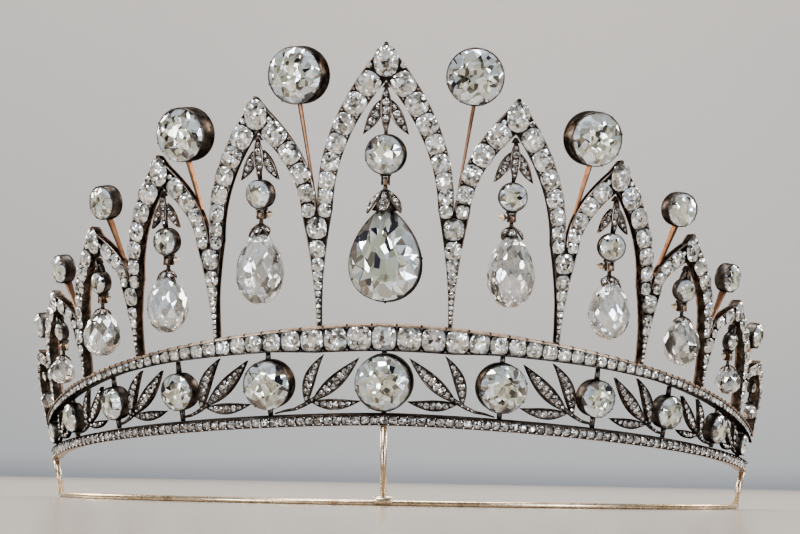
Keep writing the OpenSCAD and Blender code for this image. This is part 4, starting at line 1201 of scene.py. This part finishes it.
def drops():
    for (k, side), name in BODY.items():
        silver, pave, stone, swing = Shape(), Shape(), Shape(), f"swing_{name}"
        cap(silver, pave, k, side)
        if k == 0:
            spot = hanging(0, hinge_z(0)).turned(PEAR_TURN)
            pear_setting(silver, spot)
            pear(stone, spot)
            piece, looks = "pear_brilliant", [PEAR, PEAR_KITES]
        else:
            briolette(stone, k, side)
            piece, looks = f"briolette_{name}", [WATER]
        pave.make(f"cap_roses_{name}", [PAVE], "diamond", body=swing)
        stone.make(piece, looks, "diamond", f"drop_{name}", body=swing)
        silver.make(f"cap_leaves_{name}", [SILVER, EDGE, BRONZE, RIM], "silver", f"drop_cap_{name}",
                    body=swing)
    ends = Shape()
    for side in (-1, 1):
        briolette(ends, 5, side)
    ends.make("end_briolettes", [WATER], "diamond", "end_drop_stones")


# Base


def base():
    """Wire horseshoe with its sleeve, middle post and end posts."""
    shape = Shape()
    wire_r, post_r = WIRE_D / 2, POST_D / 2
    turns = [360 * j / WIRE_SIDES for j in range(WIRE_SIDES)]
    rings = []
    for i in range(WIRE_STEPS + 1):
        spot = hanging(END * (2 * i / WIRE_STEPS - 1), wire_r)
        rings.append([spot.at(0, wire_r * sin(a), wire_r * cos(a)) for a in turns])
    sweep(shape, rings, 0, True)
    half, r = SLEEVE_L / 2, SLEEVE_D / 2
    sleeve = [(wire_r - 0.1, half), (r - 0.12, half), (r, half - 0.15)]
    lathe(shape, on_front(0, r + SEAT_GAP).along(), both_ways(sleeve), 32)
    end_t = END - post_r / mm_per_deg(END, wire_r)
    for t in (0, -end_t, end_t):
        top = front_point(t, LOWER.bottom_z(t) - SEAT_GAP)
        rod(shape, front_point(t, wire_r), top, post_r, sides=20)
        if t:
            bead(shape, front_point(t, END_BEAD_R), END_BEAD_R)
    shape.make("base_wire", [PALE_GOLD], "gold", "base_frame")


def finish_nodes():
    """Silver on the nodes that keep their own shape."""
    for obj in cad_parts.values():
        if obj.type == "MESH":
            obj.data.materials.clear()
            obj.data.materials.append(SILVER)


# Stage: size, depth behind the diadem and height in metres, tones of the table, and tones of the
# backdrop by height, which paint shade darkening its foot where it meets the table and painted light
# growing paler upward
STAGE_SIZE, STAGE_BACK, STAGE_HEIGHT = 2.5, 0.9, 2.5
TABLE_TONES = [(0.3, 0.33, 0.285, 0.235), (0.7, 0.36, 0.31, 0.26)]
BACKDROP_PAINTED_SHADE_TONES = [(0.015, 0.22, 0.24, 0.27), (0.028, 0.37, 0.385, 0.405), (0.12, 0.45, 0.445, 0.44),
                  (0.3, 0.49, 0.465, 0.445)]


def sheet(name, material, *corners):
    mesh = bpy.data.meshes.new(name)
    mesh.from_pydata([Vector(corner) for corner in corners], [], [[0, 1, 2, 3]])
    mesh.materials.append(material)
    linked(name, mesh)


def stage():
    """Pale table, and backdrop with painted shade at its foot that lightens upward."""
    size, back, top = STAGE_SIZE, STAGE_BACK, STAGE_HEIGHT
    floor, tree, shader = node_material("pale_table")
    noise = node(tree, "TexNoise", Scale=9.0, Detail=4.0)
    settle(shader, Base_Color=ramp(tree, noise, TABLE_TONES), Roughness=0.2)
    wall, tree, shader = node_material("pale_backdrop")
    noise = node(tree, "TexNoise", Scale=2.0, Detail=2.0)
    z = node(tree, "SeparateXYZ", node(tree, "TexCoord", out="Object"), out="Z")
    height = node(tree, "Math", noise, 0.03, z, operation="MULTIPLY_ADD")
    settle(shader, Base_Color=ramp(tree, height, BACKDROP_PAINTED_SHADE_TONES), Roughness=1.0)
    sheet("floor", floor, (-size, -size, 0), (size, -size, 0), (size, back, 0), (-size, back, 0))
    sheet("backdrop", wall, (-size, back, 0), (size, back, 0), (size, back, top), (-size, back, top))


# Lights: name, place, target and size in metres, power and colour
MIDDLE = (0, 0.01, 0.04)
WARM, COOL, WHITE, GLOW = (1.0, 0.98, 0.95), (0.84, 0.92, 1.0), (1, 1, 1), (1.0, 0.9, 0.78)
LIGHTS = [("key", (-0.35, -0.55, 0.75), MIDDLE, 0.25, 7.0, WARM),
          ("window", (0.6, -0.5, 0.2), MIDDLE, 0.28, 5.0, COOL),
          ("low_window", (-0.55, -0.55, 0.08), MIDDLE, 0.22, 3.5, COOL),
          ("top", (0.0, 0.15, 0.9), MIDDLE, 0.5, 8.0, WHITE),
          ("rim_left", (-0.5, 0.35, 0.3), MIDDLE, 0.25, 4.0, GLOW),
          ("rim_right", (0.5, 0.4, 0.35), MIDDLE, 0.25, 4.0, GLOW),
          ("wall", (0.0, 0.2, 1.3), (0, 0.9, 0.5), 0.9, 16.0, WHITE)]
STUDIO_TONES = [(0.2, 0.03, 0.03, 0.03), (0.45, 0.16, 0.16, 0.17), (0.65, 0.5, 0.5, 0.51),
                (0.9, 0.9, 0.9, 0.9)]


def lights():
    """Soft lamps, and a studio that is brighter above and behind."""
    for name, place, target, size, power, colour in LIGHTS:
        data = bpy.data.lights.new(name, "AREA")
        data.size, data.energy, data.color = size, power, colour
        obj = linked(name, data)
        obj.location = place
        obj.rotation_euler = (Vector(target) - Vector(place)).to_track_quat("-Z", "Y").to_euler()
    world = bpy.data.worlds.new("studio")
    bpy.context.scene.world = world
    world.use_nodes = True
    tree = world.node_tree
    way = node(tree, "SeparateXYZ", node(tree, "TexCoord", out="Generated")).node.outputs
    behind = node(tree, "Math", way["Y"], 0.7, way["Z"], operation="MULTIPLY_ADD")
    scaled = node(tree, "MapRange", behind, From_Min=-1.2, From_Max=1.2)
    settle(tree.nodes["Background"], Strength=0.6, Color=ramp(tree, scaled, STUDIO_TONES))


def camera():
    data = bpy.data.cameras.new("camera")
    data.sensor_width = SENSOR
    data.lens = FOCAL_PIXELS * SENSOR / IMAGE_WIDTH
    data.clip_start = 0.01
    data.dof.use_dof = False
    obj = linked("camera", data)
    yaw = Matrix.Rotation(math.radians(-CAMERA_YAW), 3, "Z")
    obj.location = yaw @ Vector((CAMERA_SIDE, -CAMERA_DISTANCE, CAMERA_HEIGHT)) * MM
    look = yaw @ Vector((0, cos(CAMERA_PITCH), sin(CAMERA_PITCH)))
    roll = Matrix.Rotation(math.radians(CAMERA_ROLL), 3, "Z")
    obj.rotation_euler = (look.to_track_quat("-Z", "Y").to_matrix() @ roll).to_euler()
    bpy.context.scene.camera = obj


camera()
stage()
lights()
finish_nodes()
arcade()
arch_stones()
stalk_stones()
upper_rail()
lower_rail()
frieze_and_stem_collets()
leaf_sprays()
pendants()
drops()
base()
